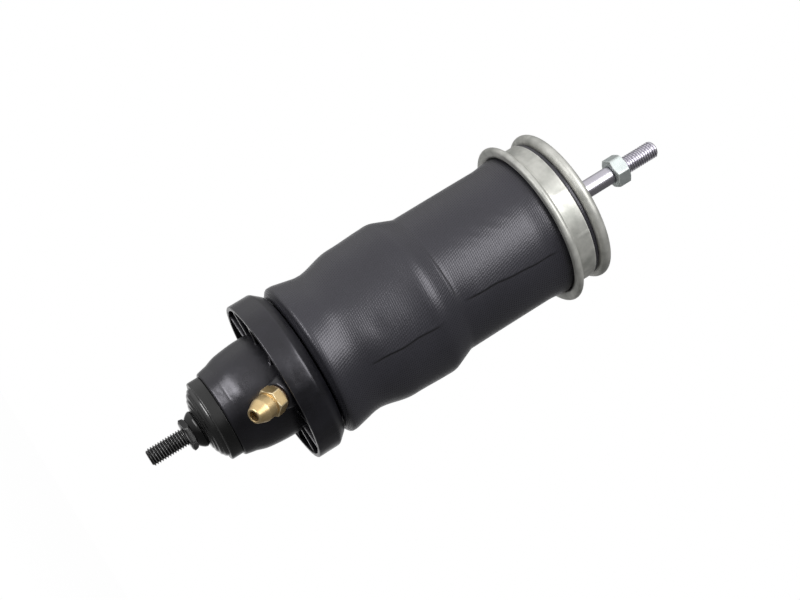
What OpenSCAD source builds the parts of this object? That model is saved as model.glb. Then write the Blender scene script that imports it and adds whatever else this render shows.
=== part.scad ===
// Cab air shock absorber: a twin-tube damper inside a rubber air sleeve.
// The lower stud points down and the piston rod points up, fully extended.
// The origin is on the axis, on the seat face of the hexagon of the lower stud.
// Radii end in _r, diameters in _d, heights in _h, lengths in _l and wall thicknesses in _wall.

/* [Travel] */
// Stroke of the damper, from full extension to the bump stop
stroke = 60; // [40:1:90]
// Oil length kept under the piston at the end of the stroke
stroke_reserve = 3; // [2:0.5:10]
// Gap between the bump stop and the striker cap at the end of the stroke
stop_gap = 0.4; // [0.2:0.1:2]

/* [Studs and nut] */
// Outside diameter of the thread on both ends
thread_d = 10; // [8:0.5:11]
// Pitch of the thread on both ends
thread_pitch = 1.5; // [1:0.25:1.75]
// Length of the free thread below the lower hexagon
lower_thread_l = 21.5; // [14:0.5:40]
// Length of thread above the shank of the piston rod
upper_thread_l = 30.1; // [20:0.1:50]
// Length of smooth shank above the end plate
upper_shank_l = 36.8; // [20:0.1:60]
// Width across the flats of the hexagons on both ends
nut_af = 16; // [15:0.5:19]
// Height of the nut on the piston rod
upper_nut_h = 8.4; // [6:0.1:12]
// Height of the hexagon forged on the lower stud
stud_hex_h = 3.6; // [3:0.1:8]
// Turn of the nut on the piston rod, in degrees
upper_nut_turn = 46; // [0:1:60]
// Turn of the hexagon of the lower stud, in degrees
stud_hex_turn = 8; // [0:1:60]
// Chamfer on the ends of both threads
end_chamfer = 1.4; // [0.5:0.1:2]

/* [Lower mounting] */
// Diameter of the lower stud inside its rubber bush
stud_shank_d = 12; // [11.5:0.1:14]
// Radius of the domed collar where it meets the rubber
collar_r = 10.4; // [9.6:0.1:12]
// Height of the domed collar
collar_h = 5; // [3:0.1:8]
// Radius of the rubber bush inside its retaining cap
bush_r = 20.5; // [18:0.1:22]
// Height of the whole rubber bush
bush_h = 19.4; // [16:0.1:26]
// Height of the ringed nose that the bush shows below its cap
nose_h = 5.6; // [4:0.1:8]
// Number of rings moulded on that nose
nose_steps = 3; // [2:1:5]
// Wall of the steel sleeve in the middle of the bush
bush_sleeve_wall = 2.4; // [1.5:0.1:3]
// Height of the visible rim of the bush cap
cap_h = 6.7; // [5:0.1:9]
// Wall of the bush cap
cap_wall = 2.3; // [2:0.1:4]
// Length of the skirt of the bush cap inside the housing
cap_skirt_l = 5; // [3:0.1:6]
// Wall of that skirt
cap_skirt_wall = 1.5; // [1:0.1:1.8]

/* [Housing] */
// Wall of the dome over the bore for the damper tube
dome_wall = 6.1; // [5:0.1:8]
// Step from the rim of the bush cap out to the nose of the housing
nose_step = 2.5; // [1.5:0.1:4]
// Height of the dome, from the bush cap up to the lower edge of the flange
dome_h = 31.7; // [28:0.1:45]
// Thickness of the web that bears on the bush
web_h = 3; // [2:0.1:5]
// Distance that the flange stands out beyond the fold of the sleeve
flange_overhang = 2.2; // [1:0.1:6]
// Height of the straight side of the flange
rim_h = 12.6; // [9:0.1:20]
// Wall of the rim of the flange
rim_wall = 2.3; // [1.8:0.1:3]
// Height of the bevel on top of the flange
bevel_h = 5.3; // [4:0.1:8]
// Width of the bevel on top of the flange
bevel_w = 4.5; // [3:0.1:6]
// Thickness of the floor of the flange
floor_h = 3.6; // [2.5:0.1:4.5]
// Number of ribs under the flange
rib_count = 12; // [6:1:18]
// Thickness of a rib
rib_wall = 1.9; // [1.2:0.1:3]
// Height of the rounded edge under the nose
nose_round_h = 2.8; // [1:0.1:5]
// Height of the straight side of the nose
nose_side_h = 2.8; // [1:0.1:6]
// Height of the swell from the nose out to the dome
swell_h = 10; // [6:0.1:13]
// Radius that the side of the dome loses between the flange and the swell
dome_draft = 0.5; // [0.1:0.1:1.5]
// Radius that the neck is smaller than the free sleeve
neck_inset = 3.5; // [2.5:0.1:4.5]
// Wall of the neck that carries the sleeve
neck_wall = 3.5; // [2.5:0.1:4.5]
// Height of the neck above the flange
neck_h = 21.2; // [18:0.1:30]
// Thickness of the cord of the seal between the tube and the housing
ring_cord_d = 2.6; // [2:0.1:3]

/* [Air fitting] */
// Direction of the fitting around the axis, in degrees from +X
port_turn = -78; // [-180:1:180]
// Tilt of the fitting away from the axis, in degrees
port_tilt = 30; // [25:1:35]
// Distance of the seat of the fitting outside the dome
port_out = 6.9; // [6:0.1:9]
// Distance of the seat of the fitting below the flange
port_drop = 5.7; // [2:0.1:7]
// Width across the flats of the hexagon of the fitting
fitting_af = 14; // [12:0.5:15]
// Length of the hexagon of the fitting
fitting_hex_l = 6.2; // [4:0.1:8]
// Turn of that hexagon, in degrees
fitting_hex_turn = 22; // [0:1:60]
// Diameter of the nozzle of the fitting
nozzle_d = 12.8; // [10:0.1:13.4]
// Length of the straight part of the nozzle
nozzle_l = 6.4; // [5:0.1:14]
// Length of the tapered part of the nozzle
taper_l = 5.3; // [4:0.1:12]
// Diameter of the tip of the nozzle
tip_d = 8.6; // [7:0.1:9.4]
// Diameter of the socket for the air line
socket_d = 5.8; // [4:0.1:6.2]
// Depth of the socket for the air line
socket_l = 12; // [8:0.1:14]
// Diameter of the passage behind the socket
passage_d = 3; // [2:0.1:3.5]
// Diameter of the screwed end of the fitting
fitting_thread_d = 9.7; // [8:0.1:10]
// Length of the screwed end of the fitting
fitting_thread_l = 7.5; // [5:0.1:9]
// Thickness of the sealing washer under the hexagon
port_washer_h = 1; // [0.8:0.1:2]
// Wall of the boss around the screwed end
boss_wall = 4.1; // [2.5:0.1:5]

/* [Air sleeve] */
// Inner radius of the sleeve where nothing shapes it
sleeve_bore_r = 37.5; // [35.5:0.1:40]
// Thickness of the rubber wall
sleeve_wall = 2.3; // [1.8:0.1:2.6]
// Outer bend radius of the fold at the foot of the sleeve
fold_r = 4.7; // [4.2:0.1:7]
// Height of the turned-in end of the sleeve above the middle of the fold
cuff_h = 14.2; // [12:0.1:16]
// Radius that the waist above the fold loses against the fold
waist_dip = 3; // [1:0.1:3.2]
// Radius that the belly gains over the straight part
belly_bulge = 4.2; // [0:0.1:6]
// Radius that the shoulder gains over the straight part
shoulder_bulge = 5; // [0:0.1:7]
// Height of the waist above the middle of the fold
waist_h = 16.4; // [14:0.1:20]
// Height of the belly above the waist
belly_h = 22; // [12:0.1:30]
// Height of the shoulder above the belly
shoulder_h = 22.8; // [12:0.1:30]
// Height of the step from the shoulder to the straight part
step_h = 16.2; // [8:0.1:20]
// Radius that the straight part gains over the clamped end
sleeve_ease = 0.6; // [0:0.1:2]
// Radius that the flare under the clamp band gains over the clamped end
flare_bulge = 1.7; // [0.5:0.1:2]
// Gap between the rubber and the rings around it
sleeve_gap = 0.3; // [0.2:0.05:0.5]

/* [Clamps and end plate] */
// Wall of the spigot
spigot_wall = 2; // [1.5:0.1:3]
// Height of the spigot
spigot_h = 21; // [18:0.1:30]
// Sheet thickness of the clamp band
band_wall = 1; // [0.8:0.1:1.2]
// Height of the straight part of the clamp band
band_h = 9.9; // [8:0.1:16]
// Width of rubber that shows between the clamp band and the end plate
band_gap = 2.6; // [1:0.1:5]
// Bend radius between the clamp band and its lip
lip_bend_r = 2.4; // [2:0.1:4]
// Flat width of the lip
lip_flat = 2.1; // [1:0.1:4]
// Outer radius of the rolled edge of the lip
lip_roll_r = 2.1; // [1.8:0.1:3]
// Sheet thickness of the end plate
plate_wall = 1.6; // [1.2:0.1:2.4]
// Outer radius of the rolled bead of the end plate
bead_r = 3.15; // [2.8:0.05:4]
// Distance of the middle of the bead outside the clamped rubber
bead_out = 1.25; // [0.5:0.05:3]
// Radius of the pressed ridge that stiffens the end plate
ridge_r = 25; // [23:0.1:28]
// Height of that ridge
ridge_h = 1.4; // [1:0.1:2.5]
// Width of each slope of that ridge
ridge_slope_w = 3.6; // [2:0.1:5]
// Wall of the crimped ring on the neck
ring_wall = 1.2; // [0.8:0.1:1.5]
// Height of the crimped ring on the neck
ring_h = 9; // [6:0.1:10]
// Radius of the seat on the rod shoulder that carries the end plate
seat_r = 16; // [15:0.1:18]
// Height of that seat
seat_h = 3; // [2.8:0.1:6]
// Height of the washer on top of the end plate
plate_washer_h = 1.6; // [1:0.1:3]
// Width of that washer
plate_washer_w = 6; // [4:0.1:9]
// Wall of the snap ring above that washer
snap_ring_h = 1.2; // [1:0.1:1.8]

/* [Damper] */
// Outer radius of the reservoir tube
tube_r = 22.5; // [21.5:0.1:23.5]
// Wall of the reservoir tube
tube_wall = 1.5; // [1:0.1:2]
// Bore of the pressure tube
cylinder_d = 25; // [22:0.5:30]
// Wall of the pressure tube
cylinder_wall = 1.5; // [1:0.1:2]
// Diameter of the piston rod
rod_d = 12; // [12:0.5:14]
// Thickness of the floor of the tube base
base_h = 3.5; // [2.5:0.1:5]
// Height of the feet and flange of the base valve
valve_h = 5.5; // [5:0.1:8]
// Height of the spigot of the base valve inside the pressure tube
valve_spigot_h = 2; // [2:0.1:4]
// Height of the spigot of the rod guide inside the pressure tube
guide_spigot_h = 4; // [3:0.1:8]
// Height of the body of the rod guide
guide_h = 7; // [5:0.1:12]
// Height of the rod seal
rod_seal_h = 3.5; // [3:0.1:6]
// Height of the steel cover over the rod seal
seal_cover_h = 1.5; // [1:0.1:3]
// Wall of the striker cap on top of the damper
striker_wall = 1.5; // [1:0.1:2]
// Length of the skirt of the striker cap
striker_skirt_l = 12; // [8:0.1:16]
// Height of the piston
piston_h = 8.5; // [7:0.1:14]
// Diameter of the lower end of the rod that carries the piston
rod_tail_d = 8; // [7:0.1:9]
// Height of the nut under the piston
piston_nut_h = 5; // [4:0.1:8]
// Height of the steel rebound stop
rebound_stop_h = 3; // [2.5:0.1:5]
// Height of the rubber rebound buffer
rebound_buffer_h = 4; // [3:0.1:8]
// Height of the bump stop
bump_h = 16.4; // [14:0.1:30]
// Radius of the upper end of the bump stop
bump_r = 17; // [15:0.1:20]

/* [Hidden] */
$fn = 96;

// Clearances
slide_gap = 0.04;
seal_gap = 0.05;
fit_gap = 0.1;
free_gap = 0.3;
overlap = 0.5;

// Small edges, and the drop from a bore to what is cut beyond it
edge = 0.5;
wide_edge = 1;
cut = 1;

// Threads and hexagons
thread_r = thread_d / 2;
thread_root_r = thread_r - 0.6134 * thread_pitch;
rod_r = rod_d / 2;
shank_r = thread_r + fit_gap;
stud_r = stud_shank_d / 2;

// Heights of the lower mounting
collar_z = stud_hex_h;
bush_z = collar_z + collar_h;
cap_z = bush_z + nose_h;
nose_z = cap_z + cap_h + free_gap;
web_z = bush_z + bush_h;
base_z = web_z + web_h + 2;

// Radii of the lower mounting
bush_sleeve_r = stud_r + fit_gap + bush_sleeve_wall;
cap_bore_r = bush_r + fit_gap;
cap_r = cap_bore_r + cap_wall;
skirt_r = cap_bore_r + cap_skirt_wall;
nose_r = cap_r + nose_step;

// Radii and heights of the housing
housing_bore_r = tube_r + free_gap;
dome_r = housing_bore_r + dome_wall;
cavity_relief = 2.4;
cavity_r = housing_bore_r + cavity_relief;
neck_r = sleeve_bore_r - neck_inset;
neck_bore_r = neck_r - neck_wall;
flange_z = nose_z + dome_h;
bevel_z = flange_z + rim_h;
flange_top = bevel_z + bevel_h;
floor_z = flange_top - floor_h;
neck_top = flange_top + neck_h;
seal_z = flange_z - 3;
groove_r = tube_r + fit_gap + ring_cord_d;
groove_h = ring_cord_d + 0.4;

// The sleeve: the fold, its turned-in cuff and the wall above
cuff_r = neck_r + sleeve_gap;
fold_mid_r = cuff_r + fold_r;
lobe_r = cuff_r + 2 * fold_r;
flange_r = lobe_r + flange_overhang;
flange_top_r = flange_r - bevel_w;
fold_z = flange_top + sleeve_gap + fold_r;
clamped_r = sleeve_bore_r + sleeve_wall;
straight_r = clamped_r + sleeve_ease;
waist_z = fold_z + waist_h;
belly_z = waist_z + belly_h;
shoulder_z = belly_z + shoulder_h;
step_z = shoulder_z + step_h;

// Heights of the damper, upwards from the floor of its tube
valve_z = base_z + base_h;
cylinder_z = valve_z + valve_h;
disc_h = 0.6;
bolt_head_h = 1.4;
valve_bolt_r = 2;
valve_top = cylinder_z + valve_spigot_h + disc_h + bolt_head_h;
shim_gap = 4;
upper_shims_h = 1.2;
lower_shims_h = 1.3;
stack_h = rebound_buffer_h + rebound_stop_h + shim_gap + upper_shims_h + piston_h
    + lower_shims_h + piston_nut_h;
guide_z = valve_top + stroke_reserve + stroke + stack_h + free_gap;
guide_body_z = guide_z + guide_spigot_h;
rod_seal_z = guide_body_z + guide_h;
cover_z = rod_seal_z + rod_seal_h;
tube_top = cover_z + seal_cover_h + tube_wall;
striker_top = tube_top + striker_wall;

// Heights of the piston and what it carries, downwards from the rod guide
buffer_z = guide_z - free_gap - rebound_buffer_h;
rebound_stop_z = buffer_z - rebound_stop_h;
tail_z = rebound_stop_z - shim_gap;
upper_shims_z = tail_z - upper_shims_h;
piston_z = upper_shims_z - piston_h;
lower_shims_z = piston_z - lower_shims_h;
piston_nut_z = lower_shims_z - piston_nut_h;

// Heights of the upper end
bump_z = striker_top + stop_gap + stroke;
seat_z = bump_z + bump_h;
plate_z = seat_z + seat_h;
plate_top = plate_z + plate_wall;
washer_z = plate_top;
snap_z = washer_z + plate_washer_h;
sleeve_top = plate_z - sleeve_gap;
band_top = plate_z - band_gap;
band_z = band_top - band_h;
nut_z = plate_top + upper_shank_l;
rod_top = nut_z + upper_thread_l;

// Radii of the damper
tube_bore_r = tube_r - tube_wall;
cylinder_r = cylinder_d / 2;
cylinder_out_r = cylinder_r + cylinder_wall;
piston_r = cylinder_r - 0.2;
piston_ring_depth = 1.2;
tail_r = rod_tail_d / 2;
guide_bush_wall = 1;

// Radii of the upper end
spigot_r = sleeve_bore_r - sleeve_gap;
band_bore_r = clamped_r + sleeve_gap;
band_r = band_bore_r + band_wall;
bead_mid_r = clamped_r + bead_out;
lip_arc_r = band_r + lip_bend_r;
lip_roll_mid_r = lip_arc_r + lip_flat;
lip_roll_z = band_z - lip_bend_r - lip_roll_r;
snap_ring_depth = 0.5;
snap_ring_wall = 2;
rod_cord_d = 1.4;

// The air fitting stands on its seat, pointing down and outwards
port_r = dome_r + port_out;
port_z = flange_z - port_drop;
hex_start = port_washer_h;
nozzle_start = hex_start + fitting_hex_l;
taper_start = nozzle_start + nozzle_l;
fitting_tip = taper_start + taper_l;
boss_r = fitting_thread_d / 2 + boss_wall;

// Smooth rise from 0 to 1 as t goes from 0 to 1
function ease(t) = (1 - cos(180 * t)) / 2;

// Points [radius, height] on a smooth rise from a towards b, without b itself
function rise(a, b, steps = 8) = [
    for (i = [0 : steps - 1]) [a[0] + (b[0] - a[0]) * ease(i / steps), a[1] + (b[1] - a[1]) * i / steps]
];

// Points on an arc about a middle point
function arc(mid, r, from, to, steps = 12) = [
    for (i = [0 : steps]) let (a = from + (to - from) * i / steps) mid + r * [cos(a), sin(a)]
];

// The rounded corner of an outline, from one quarter angle to the next
function rounded(corner, r, from) = arc(
    corner - r * [cos(from) + cos(from + 90), sin(from) + sin(from + 90)], r, from, from + 90, 5
);

// A ring of rectangular section
module ring(inner, outer, z, h) {
    translate([0, 0, z])
        difference() {
            cylinder(r = outer, h = h);
            translate([0, 0, -overlap])
                cylinder(r = inner, h = h + 2 * overlap);
        }
}

// A ring whose outer edges are broken by chamfers
module edged_ring(inner, outer, z, h, low, high) {
    rotate_extrude()
        polygon([
            [inner, z], [outer - low, z], [outer, z + low],
            [outer, z + h - high], [outer - high, z + h], [inner, z + h]
        ]);
}

// A hexagon with its corners taken off by cones at the chosen ends
module hexagon(af, z, h, low = true, high = true) {
    corner_r = af / sqrt(3);
    face_r = af / 2 * 0.98;
    fall = (corner_r - face_r) * tan(30);
    beyond_r = corner_r + cut;
    intersection() {
        translate([0, 0, z])
            cylinder(r = corner_r, h = h, $fn = 6);
        rotate_extrude()
            polygon([
                [0, z],
                [low ? face_r : beyond_r, z],
                [low ? corner_r : beyond_r, z + (low ? fall : 0)],
                [high ? corner_r : beyond_r, z + h - (high ? fall : 0)],
                [high ? face_r : beyond_r, z + h],
                [0, z + h]
            ]);
    }
}

// Copies of a pattern round the axis
module around(count, turn = 0) {
    for (i = [0 : count - 1])
        rotate([0, 0, turn + i * 360 / count])
            children();
}

// Puts its children on the seat of the air fitting, with +Z along the nozzle
module at_port() {
    rotate([0, 0, port_turn])
        translate([port_r, 0, port_z])
            rotate([0, 180 - port_tilt, 0])
                children();
}

module lower_stud() {
    shank_z = stud_hex_h - overlap;
    color([0.10, 0.10, 0.11]) {
        union() {
            edged_ring(0, thread_r, -lower_thread_l, lower_thread_l + overlap, end_chamfer, 0);
            rotate([0, 0, stud_hex_turn])
                hexagon(nut_af, 0, stud_hex_h);
            edged_ring(0, stud_r, shank_z, valve_z - shank_z, 0, edge);
        }
    }
}

module stud_collar() {
    bore = stud_r + fit_gap;
    face_r = nut_af / 2 - 0.2;
    dome_start_r = face_r + 0.6;
    dome_h = collar_h - wide_edge;
    steps = 10;
    color([0.09, 0.09, 0.10])
        rotate_extrude()
            polygon(concat(
                [[bore, collar_z], [face_r, collar_z]],
                [
                    for (i = [0 : steps]) let (t = i / steps) [
                        dome_start_r + (collar_r - dome_start_r) * sin(90 * t),
                        collar_z + edge + (dome_h - edge) * t
                    ]
                ],
                [[collar_r - edge, bush_z], [bore, bush_z]]
            ));
}

module bush_sleeve() {
    color([0.45, 0.45, 0.47])
        ring(stud_r + fit_gap, bush_sleeve_r, bush_z, base_z - bush_z);
}

// The nose is a shallow cone with a round shoulder, and rings on it with sharp grooves between them
module lower_bush() {
    bore = bush_sleeve_r + fit_gap;
    foot_z = bush_z + fit_gap;
    first_r = collar_r + edge;
    shoulder_w = 1.6;
    last_r = bush_r - shoulder_w;
    relief = 0.45;
    cone_z = foot_z + relief;
    cone_h = nose_h * 0.68;
    bulge = 1.2;
    count = nose_steps * 6;
    mouth_z = cap_z + edge;
    color([0.12, 0.12, 0.12])
        rotate_extrude()
            polygon(concat(
                [[bore, foot_z], [first_r - edge, foot_z]],
                [
                    for (i = [0 : count]) let (t = i / count) [
                        first_r + (last_r - first_r) * t,
                        cone_z + cone_h * pow(t, bulge) - relief * abs(sin(180 * nose_steps * t))
                    ]
                ],
                [
                    for (a = [30 : 30 : 90])
                        [last_r + shoulder_w * sin(a), mouth_z - (mouth_z - cone_z - cone_h) * cos(a)]
                ],
                [[bush_r, web_z - wide_edge], [bush_r - wide_edge, web_z], [bore, web_z]]
            ));
}

module bush_cap() {
    rim_top = cap_z + cap_h;
    color([0.13, 0.13, 0.14])
        rotate_extrude()
            polygon(concat(
                [[cap_bore_r, cap_z]],
                rounded([cap_r, cap_z], wide_edge, -90),
                [
                    [cap_r, rim_top],
                    [skirt_r, rim_top],
                    [skirt_r, rim_top + cap_skirt_l - edge],
                    [skirt_r - edge, rim_top + cap_skirt_l],
                    [cap_bore_r, rim_top + cap_skirt_l]
                ]
            ));
}

// The outline of the moulded dome, its flange and its neck, before they are hollowed
module housing_outline() {
    under_r = flange_r - rim_wall;
    side_z = nose_z + nose_round_h;
    swell_z = side_z + nose_side_h;
    dome_z = swell_z + swell_h;
    lip_w = 0.6;
    round_r = 2;
    foot_r = 1.2;
    polygon(concat(
        [[0, nose_z], [cap_r + lip_w, nose_z]],
        rise([cap_r + lip_w, nose_z + 0.1], [nose_r, side_z], 5),
        rise([nose_r, side_z + nose_side_h], [dome_r - dome_draft, dome_z], 12),
        [
            [dome_r - dome_draft, dome_z],
            [dome_r, dome_z + (flange_z - dome_z) * 0.4],
            [dome_r, floor_z - round_r]
        ],
        arc([dome_r + round_r, floor_z - round_r], round_r, 180, 90, 4),
        [
            [under_r - bevel_w + rim_wall / 2, floor_z],
            [under_r, bevel_z],
            [under_r, flange_z]
        ],
        rounded([flange_r, flange_z], edge, -90),
        [
            [flange_r, bevel_z - edge],
            [flange_r - edge / 2, bevel_z + edge],
            [flange_top_r, flange_top - edge],
            [flange_top_r - edge, flange_top],
            [neck_r + foot_r, flange_top],
            [neck_r, flange_top + foot_r],
            [neck_r, neck_top - wide_edge],
            [neck_r - wide_edge, neck_top],
            [0, neck_top]
        ]
    ));
}

// The space inside the housing: seat of the cap, web, tube bore, seal groove and air room
module housing_cavity() {
    skirt_bore = skirt_r + fit_gap;
    skirt_end = cap_z + cap_h + cap_skirt_l + free_gap;
    web_bore = bush_sleeve_r + 1.5;
    lead_in = 3;
    polygon([
        [0, nose_z - cut],
        [skirt_bore, nose_z - cut],
        [skirt_bore, skirt_end],
        [bush_r + fit_gap, skirt_end],
        [bush_r + fit_gap, web_z],
        [web_bore, web_z],
        [web_bore, web_z + web_h],
        [housing_bore_r, web_z + web_h],
        [housing_bore_r, seal_z - groove_h / 2],
        [groove_r, seal_z - groove_h / 2],
        [groove_r, seal_z + groove_h / 2],
        [housing_bore_r, seal_z + groove_h / 2],
        [housing_bore_r, flange_z + wide_edge],
        [cavity_r, flange_z + wide_edge + lead_in],
        [cavity_r, floor_z + wide_edge],
        [neck_bore_r, floor_z + wide_edge + neck_bore_r - cavity_r],
        [neck_bore_r, neck_top + cut],
        [0, neck_top + cut]
    ]);
}

module housing_ribs() {
    rib_z = flange_z + 0.6;
    rib_l = flange_r - rim_wall / 2 - dome_r + overlap;
    around(rib_count, port_turn)
        translate([dome_r - overlap, -rib_wall / 2, rib_z])
            cube([rib_l, rib_wall, bevel_z - rib_z + overlap]);
}

module housing() {
    boss_l = fitting_thread_l + 4.5;
    screw_bore = fitting_thread_d / 2 + slide_gap;
    air_bore = passage_d / 2 + edge;
    color([0.15, 0.15, 0.16])
        difference() {
            union() {
                rotate_extrude()
                    housing_outline();
                housing_ribs();
                at_port()
                    translate([0, 0, -boss_l])
                        cylinder(r = boss_r, h = boss_l);
            }
            rotate_extrude()
                housing_cavity();
            at_port() {
                translate([0, 0, -boss_l - boss_r])
                    cylinder(r = air_bore, h = boss_l + boss_r);
                translate([0, 0, -fitting_thread_l - wide_edge])
                    cylinder(r = screw_bore, h = fitting_thread_l + wide_edge + cut);
            }
        }
}

module air_fitting() {
    screw_r = fitting_thread_d / 2;
    nozzle_r = nozzle_d / 2;
    tip_r = tip_d / 2;
    neck_w = 0.4;
    neck_l = 0.8;
    color([0.80, 0.68, 0.42])
        at_port()
            difference() {
                union() {
                    rotate_extrude()
                        polygon([
                            [0, -fitting_thread_l],
                            [screw_r - edge, -fitting_thread_l],
                            [screw_r, edge - fitting_thread_l],
                            [screw_r, nozzle_start - overlap],
                            [nozzle_r - neck_w, nozzle_start - overlap],
                            [nozzle_r - neck_w, nozzle_start + neck_l],
                            [nozzle_r, nozzle_start + neck_l + neck_w],
                            [nozzle_r, taper_start - edge],
                            [nozzle_r - edge / 2, taper_start + edge],
                            [tip_r, fitting_tip - neck_w],
                            [tip_r - neck_w, fitting_tip],
                            [0, fitting_tip]
                        ]);
                    rotate([0, 0, fitting_hex_turn])
                        hexagon(fitting_af, hex_start, fitting_hex_l);
                }
                translate([0, 0, fitting_tip - socket_l])
                    cylinder(r = socket_d / 2, h = socket_l + cut);
                translate([0, 0, -fitting_thread_l - cut])
                    cylinder(r = passage_d / 2, h = fitting_thread_l + fitting_tip);
            }
}

module fitting_washer() {
    color([0.55, 0.33, 0.20])
        at_port()
            ring(fitting_thread_d / 2 + fit_gap, fitting_af / 2 - 0.2, 0, port_washer_h);
}

module housing_seal() {
    color([0.08, 0.08, 0.08])
        rotate_extrude()
            translate([tube_r + fit_gap / 2 + ring_cord_d / 2, seal_z])
                circle(d = ring_cord_d);
}

module lower_clamp_ring() {
    bore = cuff_r + sleeve_wall + sleeve_gap;
    ring_z = fold_z + cuff_h - 2 - ring_h;
    color([0.62, 0.63, 0.62])
        edged_ring(bore, bore + ring_wall, ring_z, ring_h, edge / 2, edge / 2);
}

// Outer skin of the sleeve above its fold, from the fold up to the end plate
function sleeve_skin() = let (
    flare_r = clamped_r + flare_bulge,
    flare_z = band_z - 7,
    straight_top = flare_z - 11
) concat(
    rise([lobe_r, fold_z], [lobe_r - waist_dip, waist_z], 10),
    rise([lobe_r - waist_dip, waist_z], [straight_r + belly_bulge, belly_z], 8),
    rise([straight_r + belly_bulge, belly_z], [straight_r + shoulder_bulge, shoulder_z], 8),
    rise([straight_r + shoulder_bulge, shoulder_z], [straight_r, step_z], 12),
    [[straight_r, step_z]],
    rise([straight_r, straight_top], [flare_r, flare_z], 6),
    rise([flare_r, flare_z], [clamped_r, band_z], 8),
    [[clamped_r, band_z], [clamped_r, sleeve_top]]
);

// The same skin moved in by the thickness of the wall, downwards
function sleeve_lining() = let (skin = sleeve_skin(), n = len(skin)) [
    for (i = [0 : n - 1]) skin[n - 1 - i] - [sleeve_wall, 0]
];

module air_sleeve() {
    cuff_top = fold_z + cuff_h;
    lead = 10;
    color([0.20, 0.20, 0.21])
        rotate_extrude()
            polygon(concat(
                [[cuff_r, cuff_top]],
                arc([fold_mid_r, fold_z], fold_r, 180, 360 - lead, 16),
                sleeve_skin(),
                sleeve_lining(),
                arc([fold_mid_r, fold_z], fold_r - sleeve_wall, -lead, -180, 12),
                [[cuff_r + sleeve_wall, cuff_top]]
            ));
}

module tube_base() {
    spigot = tube_bore_r - fit_gap;
    spigot_l = 4;
    spigot_foot_w = 3;
    spigot_top_w = 2;
    color([0.16, 0.16, 0.17])
        difference() {
            rotate_extrude()
                polygon([
                    [0, base_z],
                    [tube_r - wide_edge, base_z],
                    [tube_r, base_z + wide_edge],
                    [tube_r, valve_z],
                    [spigot, valve_z],
                    [spigot, valve_z + spigot_l],
                    [spigot - spigot_top_w, valve_z + spigot_l],
                    [spigot - spigot_foot_w, valve_z],
                    [0, valve_z]
                ]);
            translate([0, 0, base_z - cut])
                cylinder(r = stud_r + slide_gap, h = base_h + 2 * cut);
        }
}

// The upper end of the tube is rolled in over the seal cover
module reservoir_tube() {
    cover_top = cover_z + seal_cover_h;
    lip_w = 2;
    color([0.14, 0.14, 0.15])
        rotate_extrude()
            polygon(concat(
                [[tube_bore_r, valve_z], [tube_r, valve_z]],
                rounded([tube_r, tube_top], tube_wall * 0.9, 0),
                [
                    [tube_bore_r - lip_w, tube_top],
                    [tube_bore_r - lip_w, cover_top],
                    [tube_bore_r, cover_top]
                ]
            ));
}

module pressure_tube() {
    color([0.60, 0.60, 0.62])
        ring(cylinder_r, cylinder_out_r, cylinder_z, guide_body_z - cylinder_z);
}

// Ports are drilled round the bolt, and slots let the oil in under the foot
module base_valve() {
    slot_h = 2;
    slot_w = 3;
    port_count = 6;
    port_bore = 1.4;
    foot_w = 4;
    bolt_bore = valve_bolt_r + fit_gap;
    foot_r = cylinder_out_r - foot_w;
    port_mid_r = (bolt_bore + cylinder_r) / 2 + 0.8;
    color([0.50, 0.50, 0.52])
        difference() {
            rotate_extrude()
                polygon([
                    [bolt_bore, valve_z + slot_h],
                    [foot_r, valve_z + slot_h],
                    [foot_r, valve_z],
                    [cylinder_out_r, valve_z],
                    [cylinder_out_r, cylinder_z],
                    [cylinder_r - slide_gap, cylinder_z],
                    [cylinder_r - slide_gap, cylinder_z + valve_spigot_h],
                    [bolt_bore, cylinder_z + valve_spigot_h]
                ]);
            around(port_count) {
                translate([port_mid_r, 0, valve_z])
                    cylinder(r = port_bore, h = valve_h + valve_spigot_h + cut);
                translate([foot_r - cut, -slot_w / 2, valve_z - cut])
                    cube([foot_w + 2 * cut, slot_w, slot_h + cut]);
            }
        }
}

module intake_disc() {
    color([0.70, 0.70, 0.72])
        ring(valve_bolt_r + fit_gap, cylinder_r - 2, cylinder_z + valve_spigot_h, disc_h);
}

module base_valve_bolt() {
    foot_z = valve_z + 0.6;
    foot_r = valve_bolt_r + 1.6;
    head_r = valve_bolt_r + 2.5;
    color([0.55, 0.55, 0.57])
        union() {
            translate([0, 0, foot_z])
                cylinder(r = valve_bolt_r, h = valve_top - foot_z);
            translate([0, 0, valve_top - bolt_head_h])
                cylinder(r = head_r, h = bolt_head_h);
            translate([0, 0, foot_z])
                cylinder(r = foot_r, h = bolt_head_h);
        }
}

module rod_guide() {
    drain_count = 3;
    drain_bore = 1.2;
    guide_r = tube_bore_r - fit_gap;
    shoulder_w = 1.5;
    shoulder_h = 3;
    bush_bore = rod_r + guide_bush_wall + slide_gap;
    color([0.52, 0.52, 0.50])
        difference() {
            rotate_extrude()
                polygon([
                    [bush_bore, guide_z],
                    [cylinder_r - slide_gap, guide_z],
                    [cylinder_r - slide_gap, guide_body_z],
                    [cylinder_out_r + shoulder_w, guide_body_z],
                    [guide_r, guide_body_z + shoulder_h],
                    [guide_r, rod_seal_z],
                    [bush_bore, rod_seal_z]
                ]);
            around(drain_count)
                translate([(cylinder_out_r + guide_r) / 2, 0, guide_body_z - cut])
                    cylinder(r = drain_bore, h = guide_h + 2 * cut);
        }
}

module guide_bush() {
    bush_l = guide_spigot_h + guide_h - wide_edge;
    color([0.55, 0.42, 0.25])
        ring(rod_r + slide_gap, rod_r + guide_bush_wall, rod_seal_z - bush_l, bush_l);
}

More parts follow.
